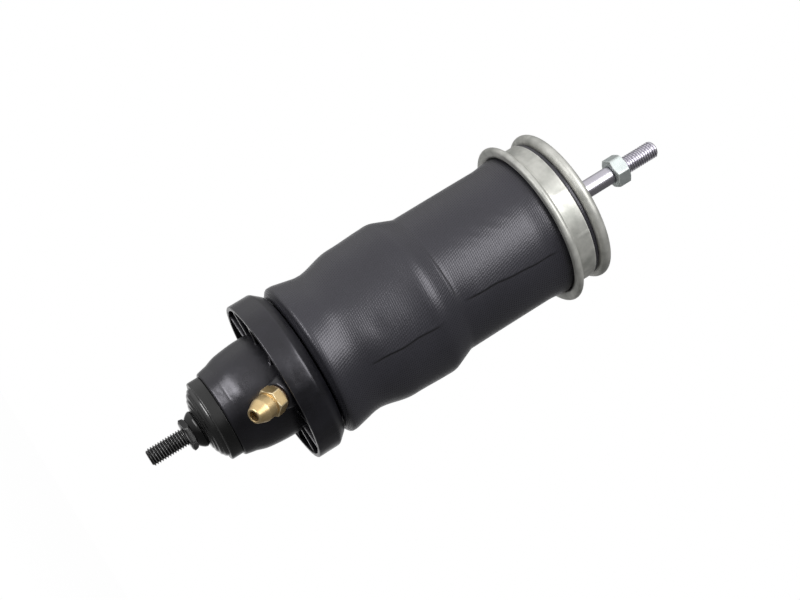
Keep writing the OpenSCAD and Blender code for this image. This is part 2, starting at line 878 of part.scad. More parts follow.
// One lip points down at the oil and the other up at the dust
module rod_seal() {
    lip_r = rod_r + seal_gap;
    lip_h = 0.9;
    hollow_w = 0.8;
    seal_r = tube_bore_r - fit_gap;
    color([0.10, 0.10, 0.10])
        rotate_extrude()
            polygon([
                [lip_r, rod_seal_z + edge],
                [lip_r + hollow_w, rod_seal_z],
                [seal_r, rod_seal_z],
                [seal_r, cover_z],
                [lip_r + hollow_w, cover_z],
                [lip_r, cover_z - edge],
                [lip_r, cover_z - lip_h],
                [lip_r + hollow_w, rod_seal_z + rod_seal_h / 2],
                [lip_r, rod_seal_z + lip_h]
            ]);
}

module seal_cover() {
    color([0.60, 0.60, 0.62])
        ring(rod_r + wide_edge, tube_bore_r - fit_gap, cover_z, seal_cover_h);
}

// A pressed cap that the bump stop strikes, with slots that let trapped air out
module striker_cap() {
    slot_count = 4;
    slot_w = 3;
    slot_l = 6;
    bore = rod_r + 2;
    inner = tube_r + fit_gap;
    outer = inner + striker_wall;
    color([0.62, 0.63, 0.62])
        difference() {
            rotate_extrude()
                polygon(concat(
                    [
                        [bore, tube_top],
                        [inner, tube_top],
                        [inner, tube_top - striker_skirt_l],
                        [outer, tube_top - striker_skirt_l]
                    ],
                    rounded([outer, striker_top], striker_wall * 0.9, 0),
                    [[bore, striker_top]]
                ));
            around(slot_count)
                translate([(bore + inner - slot_l) / 2, -slot_w / 2, tube_top - overlap])
                    cube([slot_l, slot_w, striker_wall + 2 * overlap]);
        }
}

// The rod steps down to its shank at the end plate and to the thread root under the nut
module piston_rod() {
    nut_top = nut_z + upper_nut_h;
    relief = 0.2;
    groove_r = shank_r - snap_ring_depth;
    color([0.80, 0.80, 0.82])
        rotate_extrude()
            polygon([
                [0, piston_nut_z],
                [tail_r - edge, piston_nut_z],
                [tail_r, piston_nut_z + edge],
                [tail_r, tail_z],
                [rod_r, tail_z],
                [rod_r, seat_z],
                [shank_r, seat_z],
                [shank_r, snap_z],
                [groove_r, snap_z],
                [groove_r, snap_z + snap_ring_h],
                [shank_r, snap_z + snap_ring_h],
                [shank_r, nut_z - relief],
                [thread_root_r, nut_z - relief],
                [thread_root_r, nut_top + relief],
                [thread_r, nut_top + relief],
                [thread_r, rod_top - end_chamfer],
                [thread_r - end_chamfer, rod_top],
                [0, rod_top]
            ]);
}

module damper_piston() {
    port_count = 6;
    port_bore = 1.1;
    land_h = 1.5;
    bore = tail_r + slide_gap;
    ring_seat_r = piston_r - piston_ring_depth;
    top = piston_z + piston_h;
    color([0.42, 0.42, 0.44])
        difference() {
            rotate_extrude()
                polygon([
                    [bore, piston_z],
                    [piston_r - edge, piston_z],
                    [piston_r, piston_z + edge],
                    [piston_r, piston_z + land_h],
                    [ring_seat_r, piston_z + land_h],
                    [ring_seat_r, top - land_h],
                    [piston_r, top - land_h],
                    [piston_r, top - edge],
                    [piston_r - edge, top],
                    [bore, top]
                ]);
            around(port_count)
                translate([(bore + ring_seat_r) / 2 - edge, 0, piston_z - cut])
                    cylinder(r = port_bore, h = piston_h + 2 * cut);
        }
}

module piston_ring() {
    land_h = 1.5 + fit_gap;
    color([0.30, 0.26, 0.20])
        ring(
            piston_r - piston_ring_depth + slide_gap, cylinder_r - slide_gap,
            piston_z + land_h, piston_h - 2 * land_h
        );
}

// A stack of thin discs, the largest against the piston
module disc_stack(z, h, large_r, small_r, large_up) {
    bore = tail_r + slide_gap;
    large_z = large_up ? z + h / 2 : z;
    small_z = large_up ? z : z + h / 2;
    union() {
        ring(bore, large_r, large_z, h / 2);
        ring(bore, small_r, small_z, h / 2);
    }
}

module compression_discs() {
    color([0.68, 0.68, 0.70])
        disc_stack(upper_shims_z, upper_shims_h, cylinder_r - 2.5, cylinder_r - 5, false);
}

module rebound_discs() {
    color([0.68, 0.68, 0.70])
        disc_stack(lower_shims_z, lower_shims_h, cylinder_r - 3.5, cylinder_r - 5, true);
}

module piston_nut() {
    color([0.55, 0.55, 0.57])
        difference() {
            hexagon(rod_tail_d + 5, piston_nut_z, piston_nut_h, true, false);
            translate([0, 0, piston_nut_z - cut])
                cylinder(r = tail_r + slide_gap, h = piston_nut_h + 2 * cut);
        }
}

module rebound_stop() {
    color([0.58, 0.58, 0.60])
        ring(rod_r + slide_gap, cylinder_r - 2, rebound_stop_z, rebound_stop_h);
}

module rebound_buffer() {
    color([0.14, 0.14, 0.14])
        ring(rod_r + fit_gap, cylinder_r - 2.5, buffer_z, rebound_buffer_h);
}

// A foamed block with a waist, narrower where it strikes first
module bump_stop() {
    bore = rod_r + free_gap;
    tip_r = bump_r * 0.62;
    lobe_w = bump_r - 2;
    waist_w = bump_r - 3.4;
    lobe_top = bump_z + bump_h * 0.36;
    waist_top = bump_z + bump_h * 0.52;
    head_z = bump_z + bump_h * 0.72;
    color([0.82, 0.74, 0.52])
        rotate_extrude()
            polygon(concat(
                [[bore, bump_z], [tip_r - edge, bump_z]],
                rise([tip_r, bump_z + edge], [lobe_w, lobe_top], 8),
                rise([lobe_w, lobe_top], [waist_w, waist_top], 8),
                rise([waist_w, waist_top], [bump_r, head_z], 8),
                [[bump_r, head_z], [bump_r, seat_z - wide_edge], [bump_r - wide_edge, seat_z], [bore, seat_z]]
            ));
}

module plate_seat() {
    bore = shank_r + slide_gap;
    groove_bore = bore + rod_cord_d + fit_gap;
    groove_z = plate_z - rod_cord_d - edge;
    color([0.55, 0.56, 0.56])
        rotate_extrude()
            polygon([
                [bore, seat_z],
                [seat_r - wide_edge, seat_z],
                [seat_r, seat_z + wide_edge],
                [seat_r, plate_z],
                [groove_bore, plate_z],
                [groove_bore, groove_z],
                [bore, groove_z]
            ]);
}

module rod_o_ring() {
    color([0.08, 0.08, 0.08])
        rotate_extrude()
            translate([shank_r + slide_gap + rod_cord_d / 2, plate_z - (rod_cord_d + edge) / 2])
                circle(d = rod_cord_d, $fn = 32);
}

// Outline of one face of the end plate, outwards over its ridge, at a height z
function plate_face(z) = concat(
    rise([ridge_r - ridge_slope_w, z], [ridge_r - edge, z + ridge_h], 5),
    rise([ridge_r + edge, z + ridge_h], [ridge_r + ridge_slope_w, z], 5),
    [[ridge_r + ridge_slope_w, z]]
);

// A pressed disc with a stiffening ridge and a rolled bead round its edge
module end_plate() {
    under = plate_face(plate_z);
    upper = plate_face(plate_top);
    bore = shank_r + slide_gap;
    color([0.78, 0.78, 0.74])
        rotate_extrude()
            union() {
                polygon(concat(
                    [[bore, plate_z]],
                    under,
                    [[bead_mid_r, plate_z], [bead_mid_r, plate_top]],
                    [for (i = [len(upper) - 1 : -1 : 0]) upper[i]],
                    [[bore, plate_top]]
                ));
                translate([bead_mid_r, plate_z + bead_r])
                    difference() {
                        circle(r = bead_r);
                        circle(r = bead_r - plate_wall);
                    }
            }
}

module spigot_ring() {
    low_z = plate_z - spigot_h;
    color([0.70, 0.70, 0.66])
        edged_ring(spigot_r - spigot_wall, spigot_r, low_z, spigot_h, wide_edge, 0);
}

// The band is rolled outwards at its lower edge, so that it can't cut the rubber
module clamp_band() {
    outer_bend = lip_bend_r + band_wall;
    weld = 0.01;
    color([0.80, 0.80, 0.76])
        rotate_extrude()
            union() {
                translate([band_bore_r, band_z - weld])
                    square([band_wall, band_h + weld]);
                translate([lip_arc_r, band_z])
                    intersection() {
                        difference() {
                            circle(r = outer_bend);
                            circle(r = lip_bend_r);
                        }
                        translate([-outer_bend, -outer_bend])
                            square([outer_bend + weld, outer_bend]);
                    }
                translate([lip_arc_r, band_z - outer_bend])
                    square([lip_flat, band_wall]);
                translate([lip_roll_mid_r, lip_roll_z])
                    difference() {
                        circle(r = lip_roll_r);
                        circle(r = lip_roll_r - band_wall);
                    }
            }
}

module plate_washer() {
    color([0.72, 0.72, 0.70])
        edged_ring(shank_r + slide_gap, shank_r + plate_washer_w, washer_z, plate_washer_h, 0, edge / 2);
}

// Open at one side, and sprung into the groove of the rod
module snap_ring() {
    mouth = 3;
    outer = shank_r + snap_ring_wall;
    color([0.30, 0.30, 0.31])
        difference() {
            ring(shank_r - snap_ring_depth + slide_gap, outer, snap_z, snap_ring_h);
            translate([0, -mouth / 2, snap_z - cut])
                cube([outer + cut, mouth, snap_ring_h + 2 * cut]);
        }
}

module upper_nut() {
    bore = thread_root_r + slide_gap;
    mouth_r = thread_r + free_gap;
    mouth_h = 1;
    weld = 0.01;
    color([0.76, 0.77, 0.76])
        rotate([0, 0, upper_nut_turn])
            difference() {
                hexagon(nut_af, nut_z, upper_nut_h);
                translate([0, 0, nut_z - cut])
                    cylinder(r = bore, h = upper_nut_h + 2 * cut);
                translate([0, 0, nut_z - weld])
                    cylinder(r1 = mouth_r, r2 = thread_root_r, h = mouth_h);
                translate([0, 0, nut_z + upper_nut_h - mouth_h + weld])
                    cylinder(r1 = thread_root_r, r2 = mouth_r, h = mouth_h);
            }
}

lower_stud();
stud_collar();
bush_sleeve();
lower_bush();
bush_cap();
housing();
air_fitting();
fitting_washer();
housing_seal();
lower_clamp_ring();
air_sleeve();
tube_base();
reservoir_tube();
pressure_tube();
base_valve();
intake_disc();
base_valve_bolt();
rod_guide();
guide_bush();
rod_seal();
seal_cover();
striker_cap();
piston_rod();
damper_piston();
piston_ring();
compression_discs();
rebound_discs();
piston_nut();
rebound_stop();
rebound_buffer();
bump_stop();
plate_seat();
rod_o_ring();
end_plate();
spigot_ring();
clamp_band();
plate_washer();
snap_ring();
upper_nut();
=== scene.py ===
import math

import bpy
import numpy as np
from mathutils import Matrix, Vector


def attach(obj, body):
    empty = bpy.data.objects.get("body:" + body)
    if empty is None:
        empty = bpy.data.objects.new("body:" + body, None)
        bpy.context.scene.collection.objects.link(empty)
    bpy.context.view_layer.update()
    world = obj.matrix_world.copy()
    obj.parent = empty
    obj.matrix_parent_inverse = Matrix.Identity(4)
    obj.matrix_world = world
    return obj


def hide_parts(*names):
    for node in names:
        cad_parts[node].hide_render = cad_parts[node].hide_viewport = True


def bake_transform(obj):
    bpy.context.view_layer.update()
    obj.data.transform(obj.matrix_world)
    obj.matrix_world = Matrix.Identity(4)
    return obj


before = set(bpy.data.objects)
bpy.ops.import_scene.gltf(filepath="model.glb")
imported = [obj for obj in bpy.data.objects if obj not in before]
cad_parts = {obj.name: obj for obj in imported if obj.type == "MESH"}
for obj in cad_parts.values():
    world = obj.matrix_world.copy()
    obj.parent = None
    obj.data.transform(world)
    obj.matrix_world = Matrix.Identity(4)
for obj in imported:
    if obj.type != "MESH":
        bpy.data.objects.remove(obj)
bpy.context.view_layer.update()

scene = bpy.context.scene

# The studio
# The absorber stands upright on its axis, Z. The camera stands low in front of it, rolled on its side, and
# looks a little upwards, so that in the picture the axis runs from the lower left to the upper right.

look_up, lean = math.radians(12.7), math.radians(58.37)
aim_z, distance = 0.133, 0.8
ahead = Vector((0, math.cos(look_up), math.sin(look_up)))
over = Vector((0, -math.sin(look_up), math.cos(look_up)))
side = Vector((1, 0, 0))
picture_right = math.cos(lean) * side + math.sin(lean) * over
picture_up = math.cos(lean) * over - math.sin(lean) * side


def placed(name, data):
    """An object of the scene that shows this camera, lamp or mesh."""
    thing = bpy.data.objects.new(name, data)
    scene.collection.objects.link(thing)
    return thing


def standing(across, up, back, place):
    """The matrix of a camera or a lamp: the directions of its own X, Y and Z, and where it stands."""
    matrix = Matrix((across, up, back)).transposed().to_4x4()
    matrix.translation = place
    return matrix


lens = bpy.data.cameras.new("camera")
lens.lens = 67.41
lens.shift_y = 0.0053
lens.clip_start = 0.01
camera = placed("camera", lens)
camera.matrix_world = standing(picture_right, picture_up, -ahead, Vector((0, 0, aim_z)) - distance * ahead)
scene.camera = camera
scene.view_settings.view_transform = "Standard"


def emptied(owner):
    """The node tree of a world or a material, with nothing in it."""
    owner.use_nodes = True
    owner.node_tree.nodes.clear()
    return owner.node_tree


def join(tree, node, inputs):
    """Sets each input of a node to its value, or joins it where the value is another node's socket."""
    for name, value in inputs.items():
        if isinstance(value, bpy.types.NodeSocket):
            tree.links.new(value, node.inputs[name])
        else:
            node.inputs[name].default_value = value


def add(tree, kind, inputs=None, **settings):
    """A new shader node of this kind, with its settings and its inputs."""
    node = tree.nodes.new("ShaderNode" + kind)
    for name, value in settings.items():
        setattr(node, name, value)
    join(tree, node, inputs or {})
    return node


def math_node(tree, operation, *values, clamp=False):
    """The result of one operation on one to three values."""
    node = add(tree, "Math", dict(enumerate(values)), operation=operation, use_clamp=clamp)
    return node.outputs[0]


def spread(tree, value, low, high, to_low=0.0, to_high=1.0):
    """The value moved from the range low..high to the range to_low..to_high, and held inside it."""
    return add(tree, "MapRange", {
        "Value": value, "From Min": low, "From Max": high, "To Min": to_low, "To Max": to_high}).outputs[0]


# The room is white for the camera. A reflection sees it bright behind and to the left, like a white sheet,
# and dim to the right. What falls from it on matt surfaces is a weak, even light.
dim, matt_light = 0.14, 0.20
room = bpy.data.worlds.new("studio")
scene.world = room
tree = emptied(room)
path = add(tree, "LightPath").outputs
toward = add(tree, "TexCoord").outputs["Generated"]
depth = add(tree, "SeparateXYZ", {"Vector": toward}).outputs["Y"]
leftward = add(tree, "VectorMath", {0: toward, 1: (-0.90, -0.43, 0.0)}, operation="DOT_PRODUCT")
wall = math_node(tree, "MAXIMUM", spread(tree, depth, 0.80, 1.0, dim, 1.0),
                 spread(tree, leftward.outputs["Value"], 0.0, 0.75, dim, 1.0))
seen = math_node(tree, "MAXIMUM", path["Is Camera Ray"], path["Is Transmission Ray"])
mirrored = math_node(tree, "MULTIPLY", path["Is Glossy Ray"], wall)
fill = math_node(tree, "MULTIPLY", path["Is Diffuse Ray"], matt_light)
level = math_node(tree, "MAXIMUM", seen, math_node(tree, "MAXIMUM", mirrored, fill))
ground = add(tree, "Background", {"Color": (1, 1, 1, 1), "Strength": level})
add(tree, "OutputWorld", {"Surface": ground.outputs[0]})


def soft_lamp(name, place, aim, width, height, power):
    """A rectangular soft box at a place, turned to its aim, with its height as near to Z as that allows."""
    light = bpy.data.lights.new(name, "AREA")
    light.shape = "RECTANGLE"
    light.size = width
    light.size_y = height
    light.energy = power
    box = placed(name, light)
    away = (Vector(place) - Vector(aim)).normalized()
    across = Vector((0, 0, 1)).cross(away).normalized()
    box.matrix_world = standing(across, away.cross(across), away, Vector(place))
    box.visible_camera = False


# The floor covers the lower half of the low box, so its light comes in as a flat strip.
soft_lamp("front_box", place=(-0.01, -0.76, 0.58), aim=(0, 0, 0.15), width=0.58, height=0.56, power=5.5)
soft_lamp("low_box", place=(-0.41, -0.45, -0.26), aim=(0, 0, 0.05), width=0.52, height=0.20, power=2.9)

floor_z, floor_half, paper_grey, paper_glow = -0.25, 6, 0.50, 0.89
corners = [(x * floor_half, y * floor_half, floor_z) for x, y in ((-1, -1), (1, -1), (1, 1), (-1, 1))]
floor_mesh = bpy.data.meshes.new("studio_floor")
floor_mesh.from_pydata(corners, [], [(0, 1, 2, 3)])
floor = placed("studio_floor", floor_mesh)
paper = bpy.data.materials.new("studio_paper")
tree = emptied(paper)
seen = add(tree, "LightPath").outputs["Is Camera Ray"]
matt = add(tree, "BsdfDiffuse", {"Color": (paper_grey, paper_grey, paper_grey, 1)})
glow = math_node(tree, "MULTIPLY", seen, paper_glow)
lit = add(tree, "Emission", {"Color": (1, 1, 1, 1), "Strength": glow})
both = add(tree, "AddShader", {0: matt.outputs[0], 1: lit.outputs[0]})
add(tree, "OutputMaterial", {"Surface": both.outputs[0]})
floor_mesh.materials.append(paper)
floor.visible_glossy = False

# The lower stud
# A black phosphated steel stud with an M10 rolled thread. A thin hexagon is forged on it to hold it still
# while its nut is tightened, and its shank goes up through the bush into the floor of the damper tube.

mm = 0.001


def length_along(line, step=1.0):
    """The length of a line up to each of its points: the sum of its runs, each divided by its step."""
    return np.concatenate(([0], np.cumsum(np.linalg.norm(np.diff(line, axis=0), axis=1) / step)))


def points_at(line, run, stations):
    """The points of a line at some stations, where run gives the station of each of its own points."""
    return np.column_stack([np.interp(stations, run, line[:, k]) for k in (0, 1)])


def outline(corners, loop=True, step=1.6, curve=6):
    """The corners (radius, height, rounding) of a section, in mm, with each corner rounded and runs divided.

    A rounded corner c starts at a and ends at b, each its rounding away from c along the sides, and runs on
    (1-s)^2 a + 2 s (1-s) c + s^2 b, with s from 0 to 1. Straight runs get a point about every step."""
    least_cut, most_of_side = 0.04, 0.45
    corners = np.array(corners, float)
    c = corners[:, :2]
    before, after = [np.roll(c, way, axis=0) - c for way in (1, -1)]
    back, on = [np.linalg.norm(side, axis=1, keepdims=True) for side in (before, after)]
    cut = np.minimum(np.maximum(corners[:, 2:], least_cut), most_of_side * np.minimum(back, on))
    if not loop:
        cut[[0, -1]] = 0.0
    a = c + before / back * cut
    b = c + after / on * cut
    s = np.linspace(0, 1, curve)[None, :, None]
    bent = (1 - s) ** 2 * a[:, None] + 2 * s * (1 - s) * c[:, None] + s ** 2 * b[:, None]
    line = bent.reshape(-1, 2)
    if loop:
        line = np.vstack((line, line[:1]))
    run = length_along(line)
    keep = np.concatenate(([True], np.diff(run) > 1e-6))
    line, run = line[keep], run[keep]
    marks = np.arange(step, run[-1], step)
    near = np.abs(marks[:, None] - run[None, :]).min(axis=1)
    line = points_at(line, run, np.sort(np.concatenate((run, marks[near > 0.3 * step]))))
    return line[:-1] if loop else line


def around(line, columns=144):
    """The section carried round the Z axis: radius, height and angle arrays of one shape, rows by columns.

    columns says how many there are, evenly round, or else gives the angle of each."""
    angle = columns if np.ndim(columns) else np.arange(columns) * 2 * np.pi / columns
    shape = (len(line), len(angle))
    return [np.broadcast_to(part, shape).copy() for part in (line[:, :1], line[:, 1:], angle)]


def skin(name, x, y, z, loop=True, weave=None):
    """A closed surface through a grid of points, in mm: every square of four neighbours is one face.

    The columns join round. The rows join round too, or else each end is closed by a fan about its middle.
    wear, kept at each point, is how sharply the surface turns outwards there, in 1/mm: the pull of the two
    neighbours on each side, in unit steps, against the outward normal, over their distance. hollow is how
    sharply it turns inwards.
    weave gives the length down each row edge and the number of turns at each column edge, for cloth."""
    rows, columns = x.shape
    grid = np.stack((x, y, z), axis=-1)
    i, j = np.meshgrid(np.arange(rows if loop else rows - 1), np.arange(columns), indexing="ij")
    here, below = i * columns, (i + 1) % rows * columns
    beside = (j + 1) % columns
    quads = np.stack((here + j, below + j, below + beside, here + beside), axis=-1).reshape(-1, 4)
    points = grid.reshape(-1, 3)
    fans = np.empty((0, 3), int)
    if not loop:
        points = np.vstack((points, grid[0].mean(axis=0), grid[-1].mean(axis=0)))
        first = np.column_stack((np.full(columns, grid.size // 3), j[0], beside[0]))
        last = np.column_stack((first[:, 0] + 1, below[-1] + beside[0], below[-1] + j[0]))
        fans = np.vstack((first, last))
    a, b, c = points[np.vstack((quads[:, [0, 1, 2]], quads[:, [0, 2, 3]], fans))].transpose(1, 0, 2)
    inside_out = np.einsum("ij,ij->i", a, np.cross(b, c)).sum() < 0
    if inside_out:
        quads, fans = quads[:, ::-1], fans[:, ::-1]
    down, up = np.roll(grid, -1, axis=0) - grid, np.roll(grid, 1, axis=0) - grid
    left, right = np.roll(grid, -1, axis=1) - grid, np.roll(grid, 1, axis=1) - grid
    if not loop:
        down[-1], up[0] = -up[-1], -down[0]
    out = np.cross(down - up, left - right) * (-1 if inside_out else 1)
    out /= np.maximum(np.linalg.norm(out, axis=-1, keepdims=True), 1e-9)
    bend = np.zeros((rows, columns))
    for one, other in ((down, up), (left, right)):
        gaps = [np.maximum(np.linalg.norm(v, axis=-1, keepdims=True), 1e-6) for v in (one, other)]
        pull = (one / gaps[0] + other / gaps[1]) / np.maximum(0.5 * (gaps[0] + gaps[1]), 0.15)
        bend -= np.einsum("ijk,ijk->ij", pull, out)
    bend = np.append(bend, np.zeros(len(points) - bend.size))
    mesh = bpy.data.meshes.new(name)
    mesh.from_pydata(points * mm, [], quads.tolist() + fans.tolist(), shade_flat=False)
    if weave:
        u, v = weave
        i, j = i.ravel(), j.ravel()
        corner = np.stack([np.column_stack((u[i + row], v[j + column])) for row, column in (
            (0, 0), (1, 0), (1, 1), (0, 1))], axis=1)
        if inside_out:
            corner = corner[:, ::-1]
        layer = mesh.uv_layers.new(name="weave")
        layer.data.foreach_set("uv", corner.astype(np.float32).ravel())
    mesh.validate()
    for label, turned_to in (("wear", bend), ("hollow", -bend)):
        layer = mesh.attributes.new(label, "FLOAT", "POINT")
        layer.data.foreach_set("value", np.clip(turned_to, 0, 4).astype(np.float32))
    mesh.set_sharp_from_angle(angle=math.radians(40))
    return placed(name, mesh)


def carried(name, r, z, angle, loop=True, weave=None):
    """The surface whose points have these radii, heights and angles about the Z axis."""
    return skin(name, r * np.cos(angle), r * np.sin(angle), z, loop, weave)


def turned(name, line, columns=144):
    """A plain turned or pressed piece: its section carried round the Z axis."""
    return carried(name, *around(line, columns))


def hexagon(angle, across_flats, turn):
    """Radius of a hexagon at each angle: half its width over a high norm of the six cosines to its flats."""
    norm = 40
    flats = np.radians(turn + 30 + 60 * np.arange(6))
    cosines = np.maximum(np.cos(angle[..., None] - flats), 0)
    return across_flats / 2 / (cosines ** norm).sum(axis=-1) ** (1 / norm)


thread_r, thread_pitch, thread_depth, crest, flank = 5.0, 1.5, 0.6134, 0.14, 0.60
cone_r, axis_r, tip_r, nut_af = 3.7, 0.3, 3.6, 16.0


def screwed(below, low, high, above, tip, rows, columns=144):
    """Radii, heights and angles of a piece with a right-hand thread between the two parts of its section.

    The thread has a flat crest and root joined by straight flanks, in shares of the pitch, on a helix. It
    stays inside a cone of 45 degrees that stands on the tip."""
    screw = np.column_stack((np.full(rows, thread_r), np.linspace(low, high, rows)))
    r, z, angle = around(np.vstack((below, screw, above)), columns)
    phase = (z / thread_pitch - angle / (2 * np.pi)) % 1.0
    sunk = thread_depth * thread_pitch * np.clip((np.abs(2 * phase - 1) - crest) / flank, 0, 1)
    cut = np.minimum(thread_r - sunk, cone_r + np.abs(z - tip))
    return np.where((z > low - 0.05) & (z < high + 0.05), cut, r), z, angle


stud_tip, hex_top, stud_top, hex_turn = -21.5, 3.6, 36.5, 8.0
shank_r, corner_r, face_r, end_r = 6.0, 9.2, 7.6, 5.5
tip = outline([(axis_r, stud_tip, 0), (tip_r, stud_tip, 0.2), (tip_r + 0.3, stud_tip + 0.3, 0)], loop=False)
rest = outline([
    (4.3, -0.4, 0), (4.4, -0.12, 0.1), (face_r, 0, 0.3), (corner_r, 0.9, 0.3), (corner_r, hex_top - 0.9, 0.3),
    (face_r, hex_top, 0.3), (shank_r + 0.3, hex_top, 0.3), (shank_r, hex_top + 0.4, 0.2),
    (shank_r, stud_top - 0.5, 0.2), (end_r, stud_top, 0.2), (axis_r, stud_top, 0)], loop=False)
r, z, angle = screwed(tip, stud_tip + 0.4, -0.5, rest, stud_tip, rows=172)
in_hex = (z > -0.1) & (z < hex_top + 0.05) & (r > shank_r + 0.35)
# As a forging does, the hexagon narrows a little, towards the collar.
draft_z, draft_slope = 1.4, 0.26
draft = draft_slope * np.clip(z - draft_z, 0, 2)
r = np.where(in_hex, np.minimum(r, hexagon(angle, nut_af, hex_turn) - draft), r)
lower_stud = carried("lower_stud", r, z, angle, loop=False)


def effect(name, inputs, outputs, build):
    """A shader node group: build gets its tree and its inputs, and returns a socket for each output."""
    group = bpy.data.node_groups.new(name, "ShaderNodeTree")
    for label, value in inputs.items():
        socket = group.interface.new_socket(label, in_out="INPUT", socket_type="NodeSocketFloat")
        socket.default_value = value
    for label in outputs:
        group.interface.new_socket(label, in_out="OUTPUT", socket_type="NodeSocketFloat")
    given = group.nodes.new("NodeGroupInput").outputs
    result = build(group, given)
    join(group, group.nodes.new("NodeGroupOutput"), dict(zip(outputs, result)))
    return group


def noise(tree, place, scale, detail, roughness):
    """Smooth noise from 0 to 1, with finer noise on it."""
    return add(tree, "TexNoise", {
        "Vector": place, "Scale": scale, "Detail": detail, "Roughness": roughness}).outputs[0]


def build_mottle(tree, given):
    """Two noises on the piece's own place, with their middle ranges spread to 0..1."""
    place = add(tree, "TexCoord").outputs["Object"]
    broad = noise(tree, place, given["Broad Scale"], 3.0, 0.55)
    fine = noise(tree, place, given["Fine Scale"], 4.0, 0.65)
    return spread(tree, broad, 0.32, 0.68), spread(tree, fine, 0.30, 0.70)


mottle = effect("mottle", {"Broad Scale": 30.0, "Fine Scale": 900.0}, ("Broad", "Fine"), build_mottle)


def build_edge_mask(tree, given):
    """How far the wear kept at each point lies between two values, times a patchy noise."""
    turn = add(tree, "Attribute", attribute_name="wear").outputs["Fac"]
    place = add(tree, "TexCoord").outputs["Object"]
    patchy = noise(tree, place, 120.0, 2.0, 0.5)
    sharp = spread(tree, turn, given["Starts At"], given["Full At"])
    return [math_node(tree, "MULTIPLY", sharp, spread(tree, patchy, 0.30, 0.60, 0.35, 1.0), clamp=True)]


edge_mask_group = effect("edge_mask_group", {"Starts At": 0.5, "Full At": 1.6}, ("Mask",), build_edge_mask)


def mottled(tree, broad, fine):
    """The clouds and the grain of the mottle group, at these scales."""
    return add(tree, "Group", {"Broad Scale": broad, "Fine Scale": fine}, node_tree=mottle).outputs


def edge_mask(tree, starts=0.5, full=1.6):
    """1 along sharp edges and 0 elsewhere, from the edge mask group."""
    group = add(tree, "Group", {"Starts At": starts, "Full At": full}, node_tree=edge_mask_group)
    return group.outputs["Mask"]


def blank(name):
    """A new material with its Principled shader alone."""
    material = bpy.data.materials.new(name)
    material.use_nodes = True
    return material, material.node_tree, material.node_tree.nodes["Principled BSDF"]


def shade(colour):
    """A grey or a colour written from 0 to 255 as a screen shows it, as the light that it stands for."""
    c = np.array(colour if np.ndim(colour) else (colour,) * 3, float) / 255
    return (*np.where(c <= 0.04045, c / 12.92, ((c + 0.055) / 1.055) ** 2.4), 1.0)


def blend_of(tree, factor, first, second):
    """The first colour where the factor is 0 and the second where it is 1.

    6, 7 and the output 2 are the sockets of a Mix node that are colours."""
    return add(tree, "Mix", {"Factor": factor, 6: first, 7: second}, data_type="RGBA").outputs[2]


def bumps(tree, height, strength, distance, **under):
    """The normal of a surface that stands out by its height, from 0 to 1, times the distance in metres."""
    return add(tree, "Bump", {
        "Strength": strength, "Distance": distance, "Height": height, **under}).outputs[0]


def blackened_steel(name, dark, light, edge_colour, rough, metal, grain=0.00001):
    """Black oxide or paint over steel: mottled, with a fine tooth, and brighter where its edges are bared by
    wear.
    """
    material, tree, shader = blank(name)
    cloud = mottled(tree, 90.0, 1400.0)
    body = blend_of(tree, cloud["Broad"], shade(dark), shade(light))
    join(tree, shader, {
        "Base Color": blend_of(tree, edge_mask(tree), body, shade(edge_colour)),
        "Roughness": spread(tree, cloud["Broad"], 0, 1, rough - 0.05, rough + 0.06),
        "Normal": bumps(tree, cloud["Fine"], 0.25, grain),
        "Metallic": metal})
    return material


def finish(piece, material, body, node):
    """Gives a piece its material, lets it ride on its body, and says which solid it stands for."""
    piece.data.materials.append(material)
    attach(piece, body)
    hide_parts(node)


phosphate = blackened_steel("phosphated_stud", 22, 34, 150, 0.25, 0.4)
finish(lower_stud, phosphate, "lower", "lower_stud")

# The collar
# A domed collar of blackened steel, turned in one piece. It sits on the hexagon, and the clamped stud
# presses it up against the steel tube in the middle of the bush.

bush_z, collar_r, collar_foot_r, collar_bore, collar_rise = 8.6, 10.4, 8.4, 6.1, 3.5


def soft_corners(r, z, rounding=0.05):
    """Corners of a section from arrays of radii and heights, all with the same small rounding."""
    return np.column_stack((r, z, np.full(len(r), rounding))).tolist()


t = np.linspace(0.0, 1.0, 14)
dome_line = soft_corners(
    collar_foot_r + (collar_r - collar_foot_r) * np.sin(t * np.pi / 2), hex_top + 0.5 + collar_rise * t, 0.06)
line = outline([(collar_bore, hex_top, 0.1), (collar_foot_r - 0.6, hex_top, 0.3), *dome_line,
                (collar_r - 0.5, bush_z, 0.3), (collar_bore, bush_z, 0.1)], step=1.0)
stud_collar = turned("stud_collar", line)
collar_black = blackened_steel("collar_black", 14, 22, 110, 0.20, 0.2, 0.000004)
finish(stud_collar, collar_black, "lower", "stud_collar")

# The bush
# A block of black rubber moulded on a steel tube. Its nose bulges out of its cap in three shallow rings, and
# it lets the damper tilt a little on the stud. The tube, clamped at both ends, keeps the load off the rubber.

bush_r, bush_bore, cap_z, web_z, foot_z = 20.5, 8.6, 14.2, 28.0, 8.7
first_r, last_r, ring_count, relief, cone_share = 10.9, 18.9, 3, 0.3, 0.45
cone_rise, round_top, lip_round, lip_z, lip_rise = 3.81, 14.9, 3.5, 15.2, 3.2
